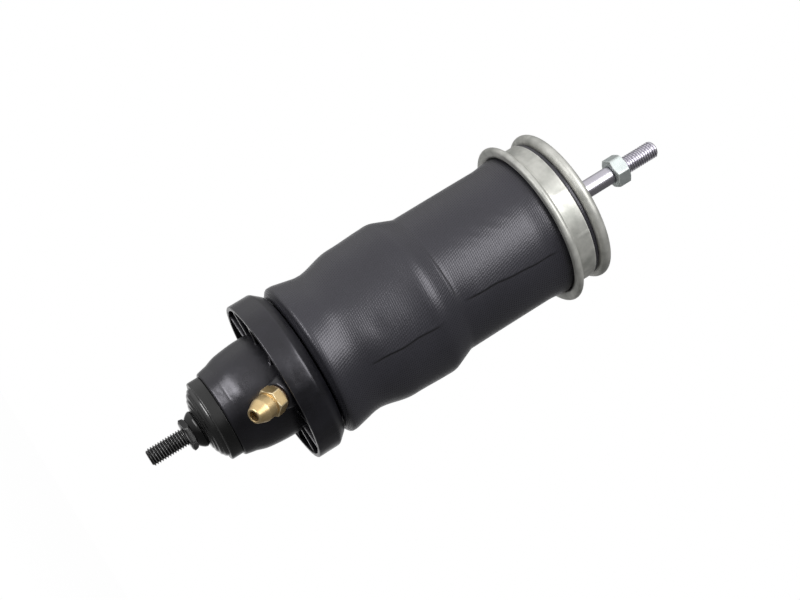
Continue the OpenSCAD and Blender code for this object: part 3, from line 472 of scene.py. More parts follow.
# The nose lies between a slightly curved cone, which ends in a rounded lip, and an ellipse, and its grooves
# are 1 - sin^2 deep.
t = np.linspace(0, 1, 46)
lip = np.radians(np.linspace(33, 90, 9))
nose_r = np.append(first_r + (last_r - first_r) * t, bush_r - lip_round + lip_round * np.sin(lip))
cone_z = np.append(foot_z + cone_rise * t ** 1.2, lip_z - lip_rise * np.cos(lip))
bulge = np.sqrt(np.clip(1 - ((nose_r - first_r) / (bush_r - first_r)) ** 2, 0, 1))
round_z = round_top - (round_top - foot_z) * bulge
outward = np.clip((nose_r - first_r) / (last_r - first_r), 0, 1)
groove = relief * (1 - np.sin(np.pi * ring_count * outward) ** 2) * (nose_r < last_r + 0.01)
nose = soft_corners(nose_r, cone_share * cone_z + (1 - cone_share) * round_z + groove, 0.04)
line = outline([(bush_bore, foot_z, 0.3), (first_r - 0.5, foot_z, 0.1), *nose, (bush_r, web_z - 1, 0.6),
                (bush_r - 1, web_z, 0.6), (bush_bore, web_z, 0.3)], step=0.8, curve=3)
r, z, angle = around(line, 160)
lump = np.sin(3 * angle + 0.4 * z) * 0.05 + np.sin(7 * angle + 1.1) * 0.03
swollen = np.clip((r - 9.5) / 3, 0, 1) * np.clip((cap_z - z) / 2, 0, 1)
lower_bush = carried("lower_bush", r + lump * swollen, z, angle)


def rubber(name, dark, light, rough, tooth):
    """Moulded black rubber: cloudy, slightly bloomed, with a soft uneven gloss."""
    material, tree, shader = blank(name)
    cloud = mottled(tree, 120.0, 1100.0)
    body = blend_of(tree, cloud["Broad"], shade(dark), shade(light))
    join(tree, shader, {
        "Base Color": blend_of(tree, edge_mask(tree, 0.9, 2.4), body, shade(light + 22)),
        "Roughness": spread(tree, cloud["Broad"], 0, 1, rough - 0.07, rough + 0.10),
        "Normal": bumps(tree, cloud["Fine"], 0.3, tooth),
        "Specular IOR Level": 0.80})
    return material


bush_rubber = rubber("bush_rubber", 22, 31, 0.21, 0.000006)
finish(lower_bush, bush_rubber, "lower", "lower_bush")


def build_tool_marks(tree, given):
    """Noise in the distance from the axis and the height, so that it draws rings round the piece."""
    place = add(tree, "TexCoord").outputs["Object"]
    part = add(tree, "SeparateXYZ", {"Vector": place}).outputs
    squares = [math_node(tree, "POWER", part[label], 2.0) for label in ("X", "Y")]
    radius = math_node(tree, "SQRT", math_node(tree, "ADD", *squares))
    rings = add(tree, "CombineXYZ", {"X": radius, "Y": 0.0, "Z": part["Z"]}).outputs[0]
    return [spread(tree, noise(tree, rings, given["Scale"], 3.0, 0.6), 0.30, 0.70)]


tool_marks = effect("tool_marks", {"Scale": 2600.0}, ("Marks",), build_tool_marks)


def turned_metal(name, dark, light, edge, rough, marks, metal=1.0, rings=1500.0):
    """Bare or plated metal: patches of tone, fine rings left by the tool or the rolling, and bright edges.

    Where the form is small and sharp, as on a thread, the gloss is lower."""
    material, tree, shader = blank(name)
    cloud = mottled(tree, 95.0, 1100.0)
    edges = edge_mask(tree, 0.4, 1.6)
    ring = add(tree, "Group", {"Scale": rings}, node_tree=tool_marks).outputs["Marks"]
    body = blend_of(tree, cloud["Broad"], shade(dark), shade(light))
    streaked = blend_of(tree, math_node(tree, "MULTIPLY", ring, 0.35), body, shade(dark))
    both = math_node(tree, "MULTIPLY_ADD", ring, 0.6, math_node(tree, "MULTIPLY", cloud["Fine"], 0.4))
    gloss = spread(tree, both, 0, 1, rough - 0.05, rough + 0.07)
    join(tree, shader, {
        "Base Color": blend_of(tree, edges, streaked, shade(edge)),
        "Roughness": math_node(tree, "MULTIPLY_ADD", edges, 0.22, gloss),
        "Normal": bumps(tree, both, 0.3, marks),
        "Metallic": metal})
    return material


def dress(material, *nodes):
    """Gives solids that keep their own shape this material in place of their plain one."""
    for node in nodes:
        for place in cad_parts[node].material_slots:
            place.material = material


drawn_steel = turned_metal("drawn_steel", (112, 114, 116), (146, 147, 149), (190, 190, 190), 0.33, 0.000004)
dress(drawn_steel, "bush_sleeve")

# The bush's cap
# A pressed steel ring with black paint on it. Its rim shows round the rubber, and its skirt goes up between
# the bush and the dome, which holds it.

cap_r, cap_bore, skirt_r, rim_top, skirt_top = 22.9, 20.6, 22.1, 20.9, 25.9
line = outline([
    (cap_bore, cap_z, 0.25), (cap_r, cap_z, 1.0), (cap_r, rim_top, 0.3), (skirt_r, rim_top + 0.02, 0.2),
    (skirt_r, skirt_top, 0.4), (cap_bore, skirt_top, 0.3)], step=0.9)
bush_cap = turned("bush_cap", line, 176)
cap_paint = blackened_steel("cap_paint", 16, 24, 70, 0.26, 0.0, 0.000004)
finish(bush_cap, cap_paint, "lower", "bush_cap")

# The housing
# One moulding in black plastic: a hollow dome round the damper tube, a wide flange with twelve ribs under
# it, the boss for the air fitting, and the neck on which the sleeve is clamped.

nose_z, flange_z, rib_z, bevel_z, ceiling_z = 21.2, 52.9, 53.5, 65.5, 67.2
flange_top, neck_foot, room_top, room_foot, neck_top, web_top = 70.8, 73.4, 68.2, 56.9, 92.0, 31.0
groove_foot, groove_top, cap_seat_z = 48.4, 51.4, 26.2
dome_r, flange_r, under_r, neck_r, neck_bore, room_r = 28.9, 45.9, 43.6, 34.0, 30.5, 25.2
housing_bore, floor_bore, cap_seat_r, mouth_r = 22.8, 10.0, 22.2, 23.3
port_turn, rib_count = math.radians(-78), 12
rib_foot, under_foot = rib_z - 0.9, flange_z + 0.25


def evenly(line, count=56):
    """The same line, with its points moved to even shares of its length."""
    run = length_along(line)
    return points_at(line, run, np.linspace(0, 1, count) * run[-1])


dome_line = outline([
    (mouth_r, nose_z, 0.2), (mouth_r + 0.5, nose_z, 0.2), (24.4, 21.8, 0.5), (25.35, 26.2, 0.8),
    (25.55, 27.4, 0.8), (27.4, 32.4, 2.4), (28.2, 38.0, 3.0), (dome_r, 45.0, 3.0), (dome_r, rib_z - 1.0, 0)],
    loop=False, step=1.2, curve=5)
pocket = evenly(outline([
    (dome_r, rib_foot, 0), (dome_r, ceiling_z, 2.0), (under_r - 2.6, ceiling_z, 0.8),
    (under_r, bevel_z - 1.0, 0.8), (under_r, under_foot, 0)], loop=False, step=1.0))
web = evenly(outline([
    (dome_r, rib_foot, 0), (dome_r, rib_z, 0.5), (under_r, rib_z, 0.3), (under_r, under_foot, 0)],
    loop=False, step=1.0))
back_line = outline([
    (under_r, flange_z + 0.2, 0), (under_r, flange_z, 0.2), (flange_r, flange_z, 0.6),
    (flange_r, bevel_z, 1.0), (flange_r - 4.5, flange_top, 0.7), (neck_r, flange_top, 1.2),
    (neck_r, neck_top, 0.8), (neck_bore, neck_top, 0.5), (neck_bore, neck_foot, 1.0), (room_r, room_top, 1.0),
    (room_r, room_foot, 1.0), (housing_bore, room_foot - 3.0, 0.5), (housing_bore, groove_top, 0.1),
    (room_r, groove_top, 0.1), (room_r, groove_foot, 0.1), (housing_bore, groove_foot, 0.1),
    (housing_bore, web_top, 0.4), (floor_bore, web_top, 0.4), (floor_bore, web_z, 0.3),
    (cap_bore, web_z, 0.3), (cap_bore, cap_seat_z, 0.2), (cap_seat_r, cap_seat_z, 0.2),
    (cap_seat_r, nose_z, 0.3), (mouth_r - 0.05, nose_z, 0)],
    loop=False, step=3.0, curve=4)

# One pitch of the ribs is worked out and repeated. lateral is the distance from the middle of its rib. Near
# the rib, a column keeps that distance, so that the rib is equally thick all along. Further out, it turns
# into a share of the pitch. on_rib is 1 on the rib's edge and 0 in the pocket beside it.
rib_reach, pitch_reach = 2.5, 7.5
lateral = np.array([0.0, 0.45, 0.72, 0.84, 0.91, 0.95, 0.99, 1.05, 1.25, 1.7, 2.5, 3.8])
lateral = np.append(lateral, np.linspace(lateral[-1], pitch_reach, 5)[1:])
lateral = np.concatenate((-lateral[:0:-1], lateral))
on_rib = np.interp(np.abs(lateral), [0.84, 0.91, 0.95, 0.985], [1.0, 0.985, 0.9, 0.0])
section = np.vstack((dome_line, pocket, back_line))
shape = np.repeat(section[:, :, None], len(lateral), axis=2)
rows = slice(len(dome_line), len(dome_line) + len(pocket))
shape[rows] = pocket[:, :, None] * (1 - on_rib) + web[:, :, None] * on_rib
half_pitch = math.pi / rib_count
beside_rib = np.arcsin(np.clip(lateral / shape[:, 0], -0.9, 0.9))
spaced = lateral / pitch_reach * (half_pitch * 0.985)
stretch = np.interp(np.abs(lateral), [rib_reach, pitch_reach], [0, 1])
local = beside_rib * (1 - stretch) + spaced * stretch
angle = np.concatenate([local + port_turn + k * 2 * half_pitch for k in range(rib_count)], axis=1)
r, z = np.tile(shape[:, 0], (1, rib_count)), np.tile(shape[:, 1], (1, rib_count))
housing = carried("housing", r, z, angle)


def moulded_plastic(name, dark, light, edge_colour, rough, grain):
    """Injection-moulded black plastic: cloudy, sunken a little, finely grained; edges paler as wear and
    painted highlight.
    """
    material, tree, shader = blank(name)
    cloud = mottled(tree, 75.0, 1700.0)
    body = blend_of(tree, cloud["Broad"], shade(dark), shade(light))
    grained = bumps(tree, cloud["Fine"], 0.35, grain)
    join(tree, shader, {
        # Along sharp edges the colour goes to the paler edge colour. This is partly rubbed wear and partly a
        # painted highlight: the thin bright line that the edges catch.
        "Base Color": blend_of(tree, edge_mask(tree, 1.2, 2.6), body, shade(edge_colour)),
        "Roughness": spread(tree, cloud["Broad"], 0, 1, rough - 0.04, rough + 0.08),
        "Normal": bumps(tree, cloud["Broad"], 1.0, 0.00012, Normal=grained),
        "Specular IOR Level": 0.62,
        "Specular Tint": (0.94, 0.92, 1.0, 1.0)})
    return material


# The pale edge colour of the housing is partly wear and partly a painted highlight along the flange's edges.
housing_plastic = moulded_plastic("housing_plastic", (11, 11, 14), (21, 21, 26), 100, 0.28, 0.000004)
finish(housing, housing_plastic, "lower", "housing")

# The boss for the air fitting is part of the same moulding. It grows out of the dome and the flange at a
# slant, and its face, square to the fitting, is the seat for the washer.

port_r, port_z, port_tilt = 35.8, 47.2, math.radians(30)
boss_r, boss_bore, boss_face_r, boss_l = 8.95, 5.2, 7.6, 12.0


def on_port(name, r, along, angle):
    """A turned piece on the fitting's own axis: it starts at the seat and points down and outwards.

    Its section lies on the axis n = (sin t, 0, -cos t), with t the tilt, and round it on (cos t, 0, sin t)
    and (0, 1, 0). The whole is then turned about Z to the port's bearing."""
    a, b = r * np.cos(angle), r * np.sin(angle)
    x = port_r + along * math.sin(port_tilt) + a * math.cos(port_tilt)
    z = port_z - along * math.cos(port_tilt) + a * math.sin(port_tilt)
    c, s = math.cos(port_turn), math.sin(port_turn)
    return skin(name, x * c - b * s, x * s + b * c, z)


line = outline([(boss_bore, -boss_l, 0.3), (boss_r + 0.5, -boss_l, 0.3), (boss_r, -4.0, 2.0),
                (boss_face_r, -0.2, 1.2), (boss_bore, 0, 0.3)], step=0.8)
port_boss = on_port("port_boss", *around(line, 96))
finish(port_boss, housing_plastic, "lower", "housing")

# The air in the sleeve is kept in by a rubber O-ring in a groove of the bore, which presses on the tube.


def bow(middle, radius, start, stop, count):
    """Points on an arc, from one angle to another, in degrees."""
    a = np.radians(np.linspace(start, stop, count))
    return np.column_stack((middle[0] + radius * np.cos(a), middle[1] + radius * np.sin(a)))


ring_mid, ring_cord, ring_z = 23.85, 1.3, 49.9
housing_seal = turned("housing_seal", bow((ring_mid, ring_z), ring_cord, 0, 345, 24))
seal_rubber = rubber("seal_rubber", 14, 20, 0.30, 0.000004)
finish(housing_seal, seal_rubber, "lower", "housing_seal")

# The air fitting
# A brass fitting screwed into the boss against a copper washer. The air line is pushed into its socket, and
# its nozzle tapers from the hexagon to the tip.

fitting_af, fitting_turn, washer_top, hex_head, fitting_tip, fitting_foot = 14.0, 22.0, 1.0, 7.2, 18.9, -7.5
passage_r, screw_r, socket_r, collar_end_r, nozzle_r, fitting_corner_r = 1.5, 4.85, 2.9, 6.0, 6.4, 8.3
line = outline([
    (passage_r, fitting_foot, 0.2), (screw_r - 0.45, fitting_foot, 0.2), (screw_r, fitting_foot + 0.5, 0.2),
    (screw_r, washer_top - 0.1, 0.2), (6.9, washer_top, 0.3), (fitting_corner_r, washer_top + 0.8, 0.3),
    (fitting_corner_r, hex_head - 0.8, 0.3), (6.9, hex_head, 0.3), (collar_end_r, hex_head, 0.2),
    (collar_end_r, 7.9, 0.2), (nozzle_r, 8.4, 0.3), (nozzle_r, 13.2, 0.6), (nozzle_r - 0.25, 14.0, 0.5),
    (4.3, 18.5, 0.3), (3.9, fitting_tip, 0.3), (3.05, fitting_tip, 0.2), (socket_r, fitting_tip - 0.2, 0.1),
    (socket_r, 6.9, 0.1), (passage_r, 6.8, 0.1)], step=0.7)
r, along, angle = around(line)
in_hex = (along > washer_top - 0.05) & (along < hex_head + 0.05) & (r > nozzle_r + 0.05)
r = np.where(in_hex, np.minimum(r, hexagon(angle, fitting_af, fitting_turn)), r)
air_fitting = on_port("air_fitting", r, along, angle)
brass = turned_metal("fitting_brass", (200, 173, 124), (226, 200, 152), (244, 230, 196), 0.36, 0.00001, 0.86)
finish(air_fitting, brass, "lower", "air_fitting")

washer_bore, washer_r = 4.95, 6.8
line = outline([(washer_bore, 0, 0.15), (washer_r, 0, 0.3), (washer_r, washer_top, 0.3),
                (washer_bore, washer_top, 0.15)], step=0.4)
fitting_washer = on_port("fitting_washer", *around(line, 96))
copper = turned_metal("washer_copper", (100, 78, 60), (124, 98, 76), (160, 130, 104), 0.50, 0.00001)
finish(fitting_washer, copper, "lower", "fitting_washer")

# The damper tubes
# Two drawn steel tubes, one in the other, with oil between them. The outer one is welded to its base, which
# is screwed down on the stud, and is painted black. The piston runs in the inner one, which is left bare.

tube_paint = blackened_steel("tube_paint", 20, 30, 96, 0.36, 0.1, 0.000006)
dress(tube_paint, "tube_base", "reservoir_tube")
dress(drawn_steel, "pressure_tube")

# The base valve
# A disc of sintered iron pressed into the foot of the inner tube, with a spring steel disc over its ports. A
# rivet holds the disc, which lifts to let oil back in under the piston.


def sintered_iron(name, dark, light, rough):
    """Iron powder, pressed and sintered: a matt grey, with pores that show as dark specks and pits."""
    material, tree, shader = blank(name)
    cloud = mottled(tree, 70.0, 2400.0)
    pores = spread(tree, cloud["Fine"], 0.02, 0.30)
    body = blend_of(tree, cloud["Broad"], shade(dark), shade(light))
    join(tree, shader, {
        "Base Color": blend_of(tree, pores, shade(24), body),
        "Roughness": spread(tree, pores, 0, 1, rough + 0.25, rough),
        "Normal": bumps(tree, pores, 0.5, 0.00003),
        "Metallic": 0.8})
    return material


iron = sintered_iron("sintered_iron", 84, 108, 0.48)
spring = blackened_steel("spring_steel", 52, 70, 150, 0.34, 0.8)
dress(iron, "base_valve")
dress(spring, "intake_disc")
dress(drawn_steel, "base_valve_bolt")

# The rod guide and its seal
# A sintered guide centres both tubes and carries a bronze bush for the rod. Over it lie the rubber seal, its
# steel washer, and a pressed cap that takes the blow of the bump stop.

dress(iron, "rod_guide")
bronze = turned_metal("bush_bronze", (146, 110, 66), (172, 134, 84), (204, 168, 116), 0.34, 0.000005)
dress(bronze, "guide_bush")

seal_bore, lip_in, seal_out, seal_foot, seal_head = 6.05, 6.85, 20.9, 147.3, 150.8
line = outline([
    (seal_bore, seal_foot + 0.3, 0.1), (lip_in, seal_foot, 0.2), (seal_out, seal_foot, 0.3),
    (seal_out, seal_head, 0.3), (lip_in, seal_head, 0.2), (seal_bore, seal_head - 0.3, 0.1),
    (seal_bore, seal_head - 0.9, 0.15), (lip_in, (seal_foot + seal_head) / 2, 0.3),
    (seal_bore, seal_foot + 0.9, 0.15)], step=0.8)
rod_seal = turned("rod_seal", line)
finish(rod_seal, seal_rubber, "lower", "rod_seal")
dress(drawn_steel, "seal_cover")
zinc = turned_metal(
    "band_zinc", (172, 173, 167), (225, 224, 218), (234, 233, 228), 0.46, 0.000006, metal=0.54, rings=420.0)
dress(zinc, "striker_cap")

# The air sleeve
# A tube of black rubber over crossed cords, whose fine weave shows through the skin. Its lower end is turned
# in over a fold and clamped on the neck by a plated ring, and its upper end is clamped under the band.

sleeve_wall, fold_mid_r, fold_z, fold_r, fold_pinch, fold_flat = 2.3, 39.0, 75.8, 4.7, 0.22, 0.82
cuff_r, cuff_top, lobe_r, lobe_z, dip_z = 34.3, 90.0, 43.7, 78.0, 90.6
waist_r, belly_r, shoulder_r, straight_r, flare_r, clamped_r = 40.7, 44.6, 45.4, 40.4, 41.5, 39.8
waist_z, belly_z, shoulder_z, step_z = 92.2, 114.2, 137.0, 153.2
slack_foot, slack_top, band_z, band_top, sleeve_top = 76.0, 154.0, 222.6, 232.5, 234.8
flare_z = band_z - 7
straight_top = flare_z - 11


def eased(t):
    """From 0 to 1 with level ends: (1 - cos(pi t)) / 2."""
    return (1 - np.cos(np.pi * t)) / 2


def rise(a, b, steps):
    """Corners from a towards b, whose radius is eased as their height goes evenly."""
    t = np.arange(steps) / steps
    return soft_corners(a[0] + (b[0] - a[0]) * eased(t), a[1] + (b[1] - a[1]) * t)


def respaced(line, step, fine_step, low, high):
    """The same line with new points on it, a step apart, or a fine step apart between two heights.

    Each point has the same share of the sum of every run's length over its step."""
    middle = (line[1:, 1] + line[:-1, 1]) / 2
    steps = length_along(line, np.where((middle > low) & (middle < high), fine_step, step))
    return points_at(line, steps, np.linspace(0, steps[-1], int(steps[-1]) + 1))


# The fold is an arc, pinched on its outer side. Above it the wall goes up in a lobe, a waist, a belly and a
# shoulder to the straight part under the band. The lining follows it, a wall's thickness further in.
sweep = np.radians(np.linspace(180, 350, 20))
pinched = fold_r * (1 - fold_pinch * np.where(sweep > 1.5 * np.pi, np.sin(2 * sweep) ** 2, 0))
fold = soft_corners(fold_mid_r + pinched * np.cos(sweep), fold_z + fold_flat * pinched * np.sin(sweep))
wall = [
    (lobe_r, fold_z, 0.05), (lobe_r, lobe_z + 0.2, 1.8), (waist_r + 0.2, dip_z, 3.0),
    *rise((waist_r, waist_z), (belly_r, belly_z), 10)[1:],
    *rise((belly_r, belly_z), (shoulder_r, shoulder_z), 8),
    (shoulder_r + 0.15, 139.6, 3.4), (straight_r + 0.25, 152.0, 1.2), (straight_r, step_z + 0.2, 0.4),
    *rise((straight_r, straight_top), (flare_r, flare_z), 6),
    *rise((flare_r, flare_z), (clamped_r, band_z), 8),
    (clamped_r, band_z, 0.05), (clamped_r, sleeve_top, 0.3)]
outer = outline([(cuff_r, cuff_top, 0.0), *fold, *wall[:-1], (clamped_r, band_top, 0.0)],
                loop=False, step=0.5, curve=5)
# What the band and the plate squeeze out between them is a thick lip of rubber.
top_lip = [(40.1, 232.6), (40.4, 232.8), (40.5, 233.1), (40.5, 234.4), (40.4, 234.7), (40.0, 234.85)]
inner_fold = soft_corners(*bow((fold_mid_r, fold_z), fold_r - sleeve_wall, -10, -180, 14).T)
lining = [(c[0] - sleeve_wall, c[1], 0.05) for c in reversed(wall)]
inner = outline([*lining, *inner_fold, (cuff_r + sleeve_wall, cuff_top, 0.0)], loop=False, step=1, curve=3)
line = np.vstack((respaced(outer, 1.0, 0.42, 136, 155), top_lip, respaced(inner, 3.5, 2.0, 70, 92)))

# The columns lie closer together where the creases run.
spokes = np.radians(np.concatenate((np.arange(-73, -55, 0.36), np.arange(-55, 287, 1.2))))
r, z, angle = around(line, spokes)


def round_to(angle, bearing):
    """The distance round the sleeve from a bearing in degrees, in mm, for a sleeve about 42 mm in radius."""
    return ((angle - np.radians(bearing) + np.pi) % (2 * np.pi) - np.pi) * 42


def smooth(t):
    """From 0 to 1 with level ends, 3 t^2 - 2 t^3, and held there outside them."""
    t = np.clip(t, 0, 1)
    return t * t * (3 - 2 * t)


def between(z, low, high, width):
    """1 between two heights and 0 outside them, with a smooth edge of this width inside each."""
    return smooth(np.minimum(z - low, high - z) / width)


def pucker(angle, z, bearing, height, wide, tall):
    """A bell in the distance round the sleeve times a bell in height, which are so many mm wide and tall."""
    return np.exp(-(round_to(angle, bearing) / wide) ** 2 - ((z - height) / tall) ** 2)


def crease(angle, z, low, high, bearing, drift):
    """A long crease between two heights: a ridge that climbs slowly from one side and drops off, and a dent
    beyond it that fades out.

    away is the distance round from its line, which drifts by so many degrees per mm and wavers. The ridge
    is an exponential up to the line and a narrow bell after it, and the dent is an exponential again."""
    away = round_to(angle, bearing + drift * (z - (low + high) / 2))
    away += 0.35 * np.sin(z / 6.5) + 0.2 * np.sin(z / 2.7)
    ridge = 0.75 * np.exp(np.minimum(away, 0) / 7) * np.exp(-(np.maximum(away, 0) / 0.9) ** 2)
    dent = 0.45 * (1 + 0.4 * np.sin(z / 8 + 1)) * np.exp(-np.maximum(away - 1.3, 0) / 5)
    return between(z, low, high, 12) * (ridge - dent * between(away, 0.2, 60, 1.3))


# The empty sleeve hangs slack. Its front and back follow the slack line and its sides the round one.
front = -90.0
slack = outline([
    (lobe_r, slack_foot, 0), (lobe_r, lobe_z, 1.5), (41.3, dip_z, 4.0), (42.3, 114.0, 12.0),
    (43.4, 129.0, 8.0), (shoulder_r + 0.35, 139.9, 4.2), (straight_r + 0.1, 151.6, 4.0),
    (straight_r, slack_top, 0)],
    loop=False, step=0.5, curve=5)
round_wall = outline(wall, loop=False, step=0.5, curve=5)
flattened = np.interp(z, slack[:, 1], slack[:, 0]) - np.interp(z, round_wall[:, 1], round_wall[:, 0])
folds = np.cos(angle - math.radians(front)) ** 2 * flattened * between(z, lobe_z, slack_top, 0.5)
folds += 0.14 * np.sin(2 * angle + 0.6) + 0.10 * np.sin(3 * angle + z / 38)
folds += 0.06 * np.sin(5 * angle - z / 24)
folds += crease(angle, z, 93, 141, front + 25.6, 0.012) + crease(angle, z, 153, 214, front + 25.2, 0.11)
# Two fine ripples run round just under the straight part, and a slanting set of faint ones lies higher up.
ripple_middle = np.exp(-(round_to(angle, front + 2) / 17) ** 2)
for height, tall in ((150.6, 0.6), (152.3, 0.7)):
    folds += 0.16 * ripple_middle * np.exp(-((z - height - 0.02 * round_to(angle, front)) / tall) ** 2)
ripples = 0.17 * np.sin(2 * np.pi * (z / 10.5 - round_to(angle, front) / 16))
folds += pucker(angle, z, front - 16, 182, 6, 20) * ripples
# Low down it is dented in the middle and bulges beside that.
folds += 1.5 * pucker(angle, z, front - 27, 88, 11, 9) - 0.3 * pucker(angle, z, front + 4, 107, 7, 5)
# It is free to move between its clamped ends, and on its outer side only.
free = np.clip((z - slack_foot) / 14, 0, 1) * np.clip((band_z - z) / 8, 0, 1) * np.clip((r - 37) / 0.8, 0, 1)
r = r + folds * smooth(free)
turns = np.append((spokes - spokes[0]) / (2 * np.pi), 1.0)
air_sleeve = carried("air_sleeve", r, z, angle, weave=(length_along(np.vstack((line, line[:1]))), turns))


def build_cords(tree, given):
    """The print of a plain cloth, on the sleeve's own map of length (mm) and turns.

    Two sets of ridges, one nearly round and one nearly lengthwise: each is the cosine of a phase that goes
    up with length and with turns. Their half sum is high where ridges cross."""
    cloth = add(tree, "UVMap", uv_map="weave").outputs[0]
    part = add(tree, "SeparateXYZ", {"Vector": cloth}).outputs
    ridges = []
    for kind in ("Hoops", "Runs"):
        by_turn = math_node(tree, "MULTIPLY", part["Y"], given[kind + " Per Turn"])
        phase = math_node(tree, "MULTIPLY_ADD", part["X"], given[kind + " Per Length"], by_turn)
        ridges.append(math_node(tree, "COSINE", math_node(tree, "MULTIPLY", phase, 2 * math.pi)))
    return [math_node(tree, "MULTIPLY_ADD", math_node(tree, "ADD", *ridges), 0.25, 0.5)]


cords = effect("cloth_print", {
    "Hoops Per Length": 0.88, "Hoops Per Turn": 22.0, "Runs Per Length": 0.19, "Runs Per Turn": 170.0},
    ("Dots",), build_cords)
sleeve_weave, tree, shader = blank("sleeve_weave")
cloud = mottled(tree, 26.0, 800.0)
dots = add(tree, "Group", node_tree=cords).outputs["Dots"]
ground_tone = blend_of(tree, cloud["Broad"], shade((41, 40, 46)), shade((50, 49, 56)))
woven = blend_of(tree, math_node(tree, "MULTIPLY", dots, 0.45), ground_tone, shade((60, 61, 64)))
speckled = blend_of(tree, math_node(tree, "MULTIPLY", cloud["Fine"], 0.35), woven, shade((24, 25, 28)))
# Where the surface turns inwards, in the creases and under the fold, the colour is darkened towards near
# black as painted shade, and the gloss drops there too.
hollow = add(tree, "Attribute", attribute_name="hollow").outputs["Fac"]
painted_crease_shade = spread(tree, hollow, 0.12, 0.55)
gloss = spread(tree, dots, 0, 1, 0.47, 0.21)
height = math_node(tree, "MULTIPLY_ADD", dots, 0.7, math_node(tree, "MULTIPLY", cloud["Fine"], 0.3))
join(tree, shader, {
    "Base Color": blend_of(tree, painted_crease_shade, speckled, shade(14)),
    "Roughness": math_node(tree, "MULTIPLY_ADD", painted_crease_shade, 0.4, gloss),
    "Normal": bumps(tree, height, 0.6, 0.00014),
    "Specular IOR Level": 0.60,
    "Specular Tint": (0.95, 0.93, 1.0, 1.0)})
air_sleeve.data.materials.append(sleeve_weave)
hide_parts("air_sleeve")
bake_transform(air_sleeve)
dress(zinc, "lower_clamp_ring")

# The clamp band
# A zinc-plated steel band crimped round the top of the sleeve by the jaws of a press, which leave marks on
# it. Its lower edge is rolled outwards, so that it can't cut the rubber. The plated ring inside backs it.


def walled(path, thick):
    """A sheet of even thickness along a path: the path moved half of it to each side, with rounded ends.

    The side step is the unit normal (dz, -dr) of the path, and each end is half a circle round its last
    point."""
    step = np.gradient(path, axis=0)
    step /= np.linalg.norm(step, axis=1, keepdims=True)
    normal = np.column_stack((step[:, 1], -step[:, 0]))
    turn = np.linspace(0, np.pi, 7)[1:-1, None]
    end = path[-1] + thick / 2 * (np.cos(turn) * normal[-1] + np.sin(turn) * step[-1])
    start = path[0] + thick / 2 * (-np.cos(turn) * normal[0] - np.sin(turn) * step[0])
    return np.vstack((path + thick / 2 * normal, end, (path - thick / 2 * normal)[::-1], start))


band_r, band_wall, curl_r, roll_r, hem_r, lip_z = 40.6, 1.0, 2.9, 1.6, 2.05, 219.7
jaw_pitch, jaw_half_width, jaw_mark = 36, 1.6, 0.22
straight = np.column_stack((np.full(14, band_r), np.linspace(band_top - 0.5, band_z + 0.4, 14)))
curl = bow((band_r + curl_r, band_z), curl_r, 180, 270, 14)
lip = np.column_stack((np.linspace(43.8, 45.3, 4), np.full(4, lip_z)))
roll = bow((45.6, lip_z - roll_r), roll_r, 90, -60, 14)
hem = bow((44.0, 218.9), hem_r, -75, -165, 10)
r, z, angle = around(walled(np.vstack((straight, curl, lip, roll, hem)), band_wall), 288)
beside_jaw = np.abs((np.degrees(angle) + 8) % jaw_pitch - jaw_pitch / 2)
on_wall = np.clip((z - 223.2) / 1.5, 0, 1) * np.clip((42.5 - r) / 0.8, 0, 1)
r = r + jaw_mark * smooth(1 - beside_jaw / jaw_half_width) * on_wall
clamp_band = carried("clamp_band", r, z, angle)
finish(clamp_band, zinc, "upper", "clamp_band")
dress(zinc, "spigot_ring")

# The end plate
# A pressed disc of the same zinc-plated steel, with a stiffening ridge. Its edge is rolled into a bead all
# round, and it stands on the seat at the shoulder of the rod.

plate_wall, plate_mid, plate_bore, ridge_r, ridge_up, ridge_side = 1.6, 235.9, 5.9, 25.0, 1.4, 3.1
bead_z, bead_mid, bead_roll = 238.25, 41.05, 2.35
t = np.linspace(0, 1, 12)
inside = np.column_stack((np.linspace(plate_bore, 21.2, 14), np.full(14, plate_mid)))
up_slope = np.column_stack((ridge_r - 0.5 + ridge_side * (t - 1), plate_mid + ridge_up * eased(t)))
down_slope = np.column_stack((ridge_r + 0.5 + ridge_side * t, plate_mid + ridge_up * (1 - eased(t))))
outside = np.column_stack((np.linspace(29.0, 40.7, 12), np.full(12, plate_mid)))
bead = bow((bead_mid, bead_z), bead_roll, -90, 225, 44)
path = np.vstack((inside, up_slope, down_slope, outside, bead))
end_plate = turned("end_plate", walled(path, plate_wall), 256)
finish(end_plate, zinc, "upper", "end_plate")

# The piston rod
# Chromed and ground steel. Above the plate it is stepped down to a shank with a groove for the snap ring,
# and ends in the same M10 thread as the stud.

rod_foot, tail_z, seat_z, snap_z, nut_z, nut_top, rod_top = 109.0, 125.0, 232.1, 238.3, 273.5, 281.9, 303.6
rod_r, tail_r, upper_shank_r, groove_r, root_r, snap_wall = 6.0, 4.0, 5.1, 4.6, 4.1, 1.2
low = outline([
    (axis_r, rod_foot, 0), (tail_r - 0.5, rod_foot, 0.2), (tail_r, rod_foot + 0.5, 0.2),
    (tail_r, tail_z, 0.2), (rod_r, tail_z, 0.2), (rod_r, seat_z, 0.2), (upper_shank_r, seat_z, 0.1),
    (upper_shank_r, snap_z, 0.1), (groove_r, snap_z, 0.1), (groove_r, snap_z + snap_wall, 0.1),
    (upper_shank_r, snap_z + snap_wall, 0.1), (upper_shank_r, nut_z - 0.4, 0.2), (root_r, nut_z - 0.1, 0.1),
    (root_r, nut_top + 0.1, 0.1)],
    loop=False, step=2.0)
end = outline([(tip_r + 0.3, rod_top - 0.3, 0), (tip_r, rod_top, 0.2), (axis_r, rod_top, 0)], loop=False)
r, z, angle = screwed(low, nut_top + 0.25, rod_top - 0.4, end, rod_top, rows=176, columns=120)
piston_rod = carried("piston_rod", r, z, angle, loop=False)
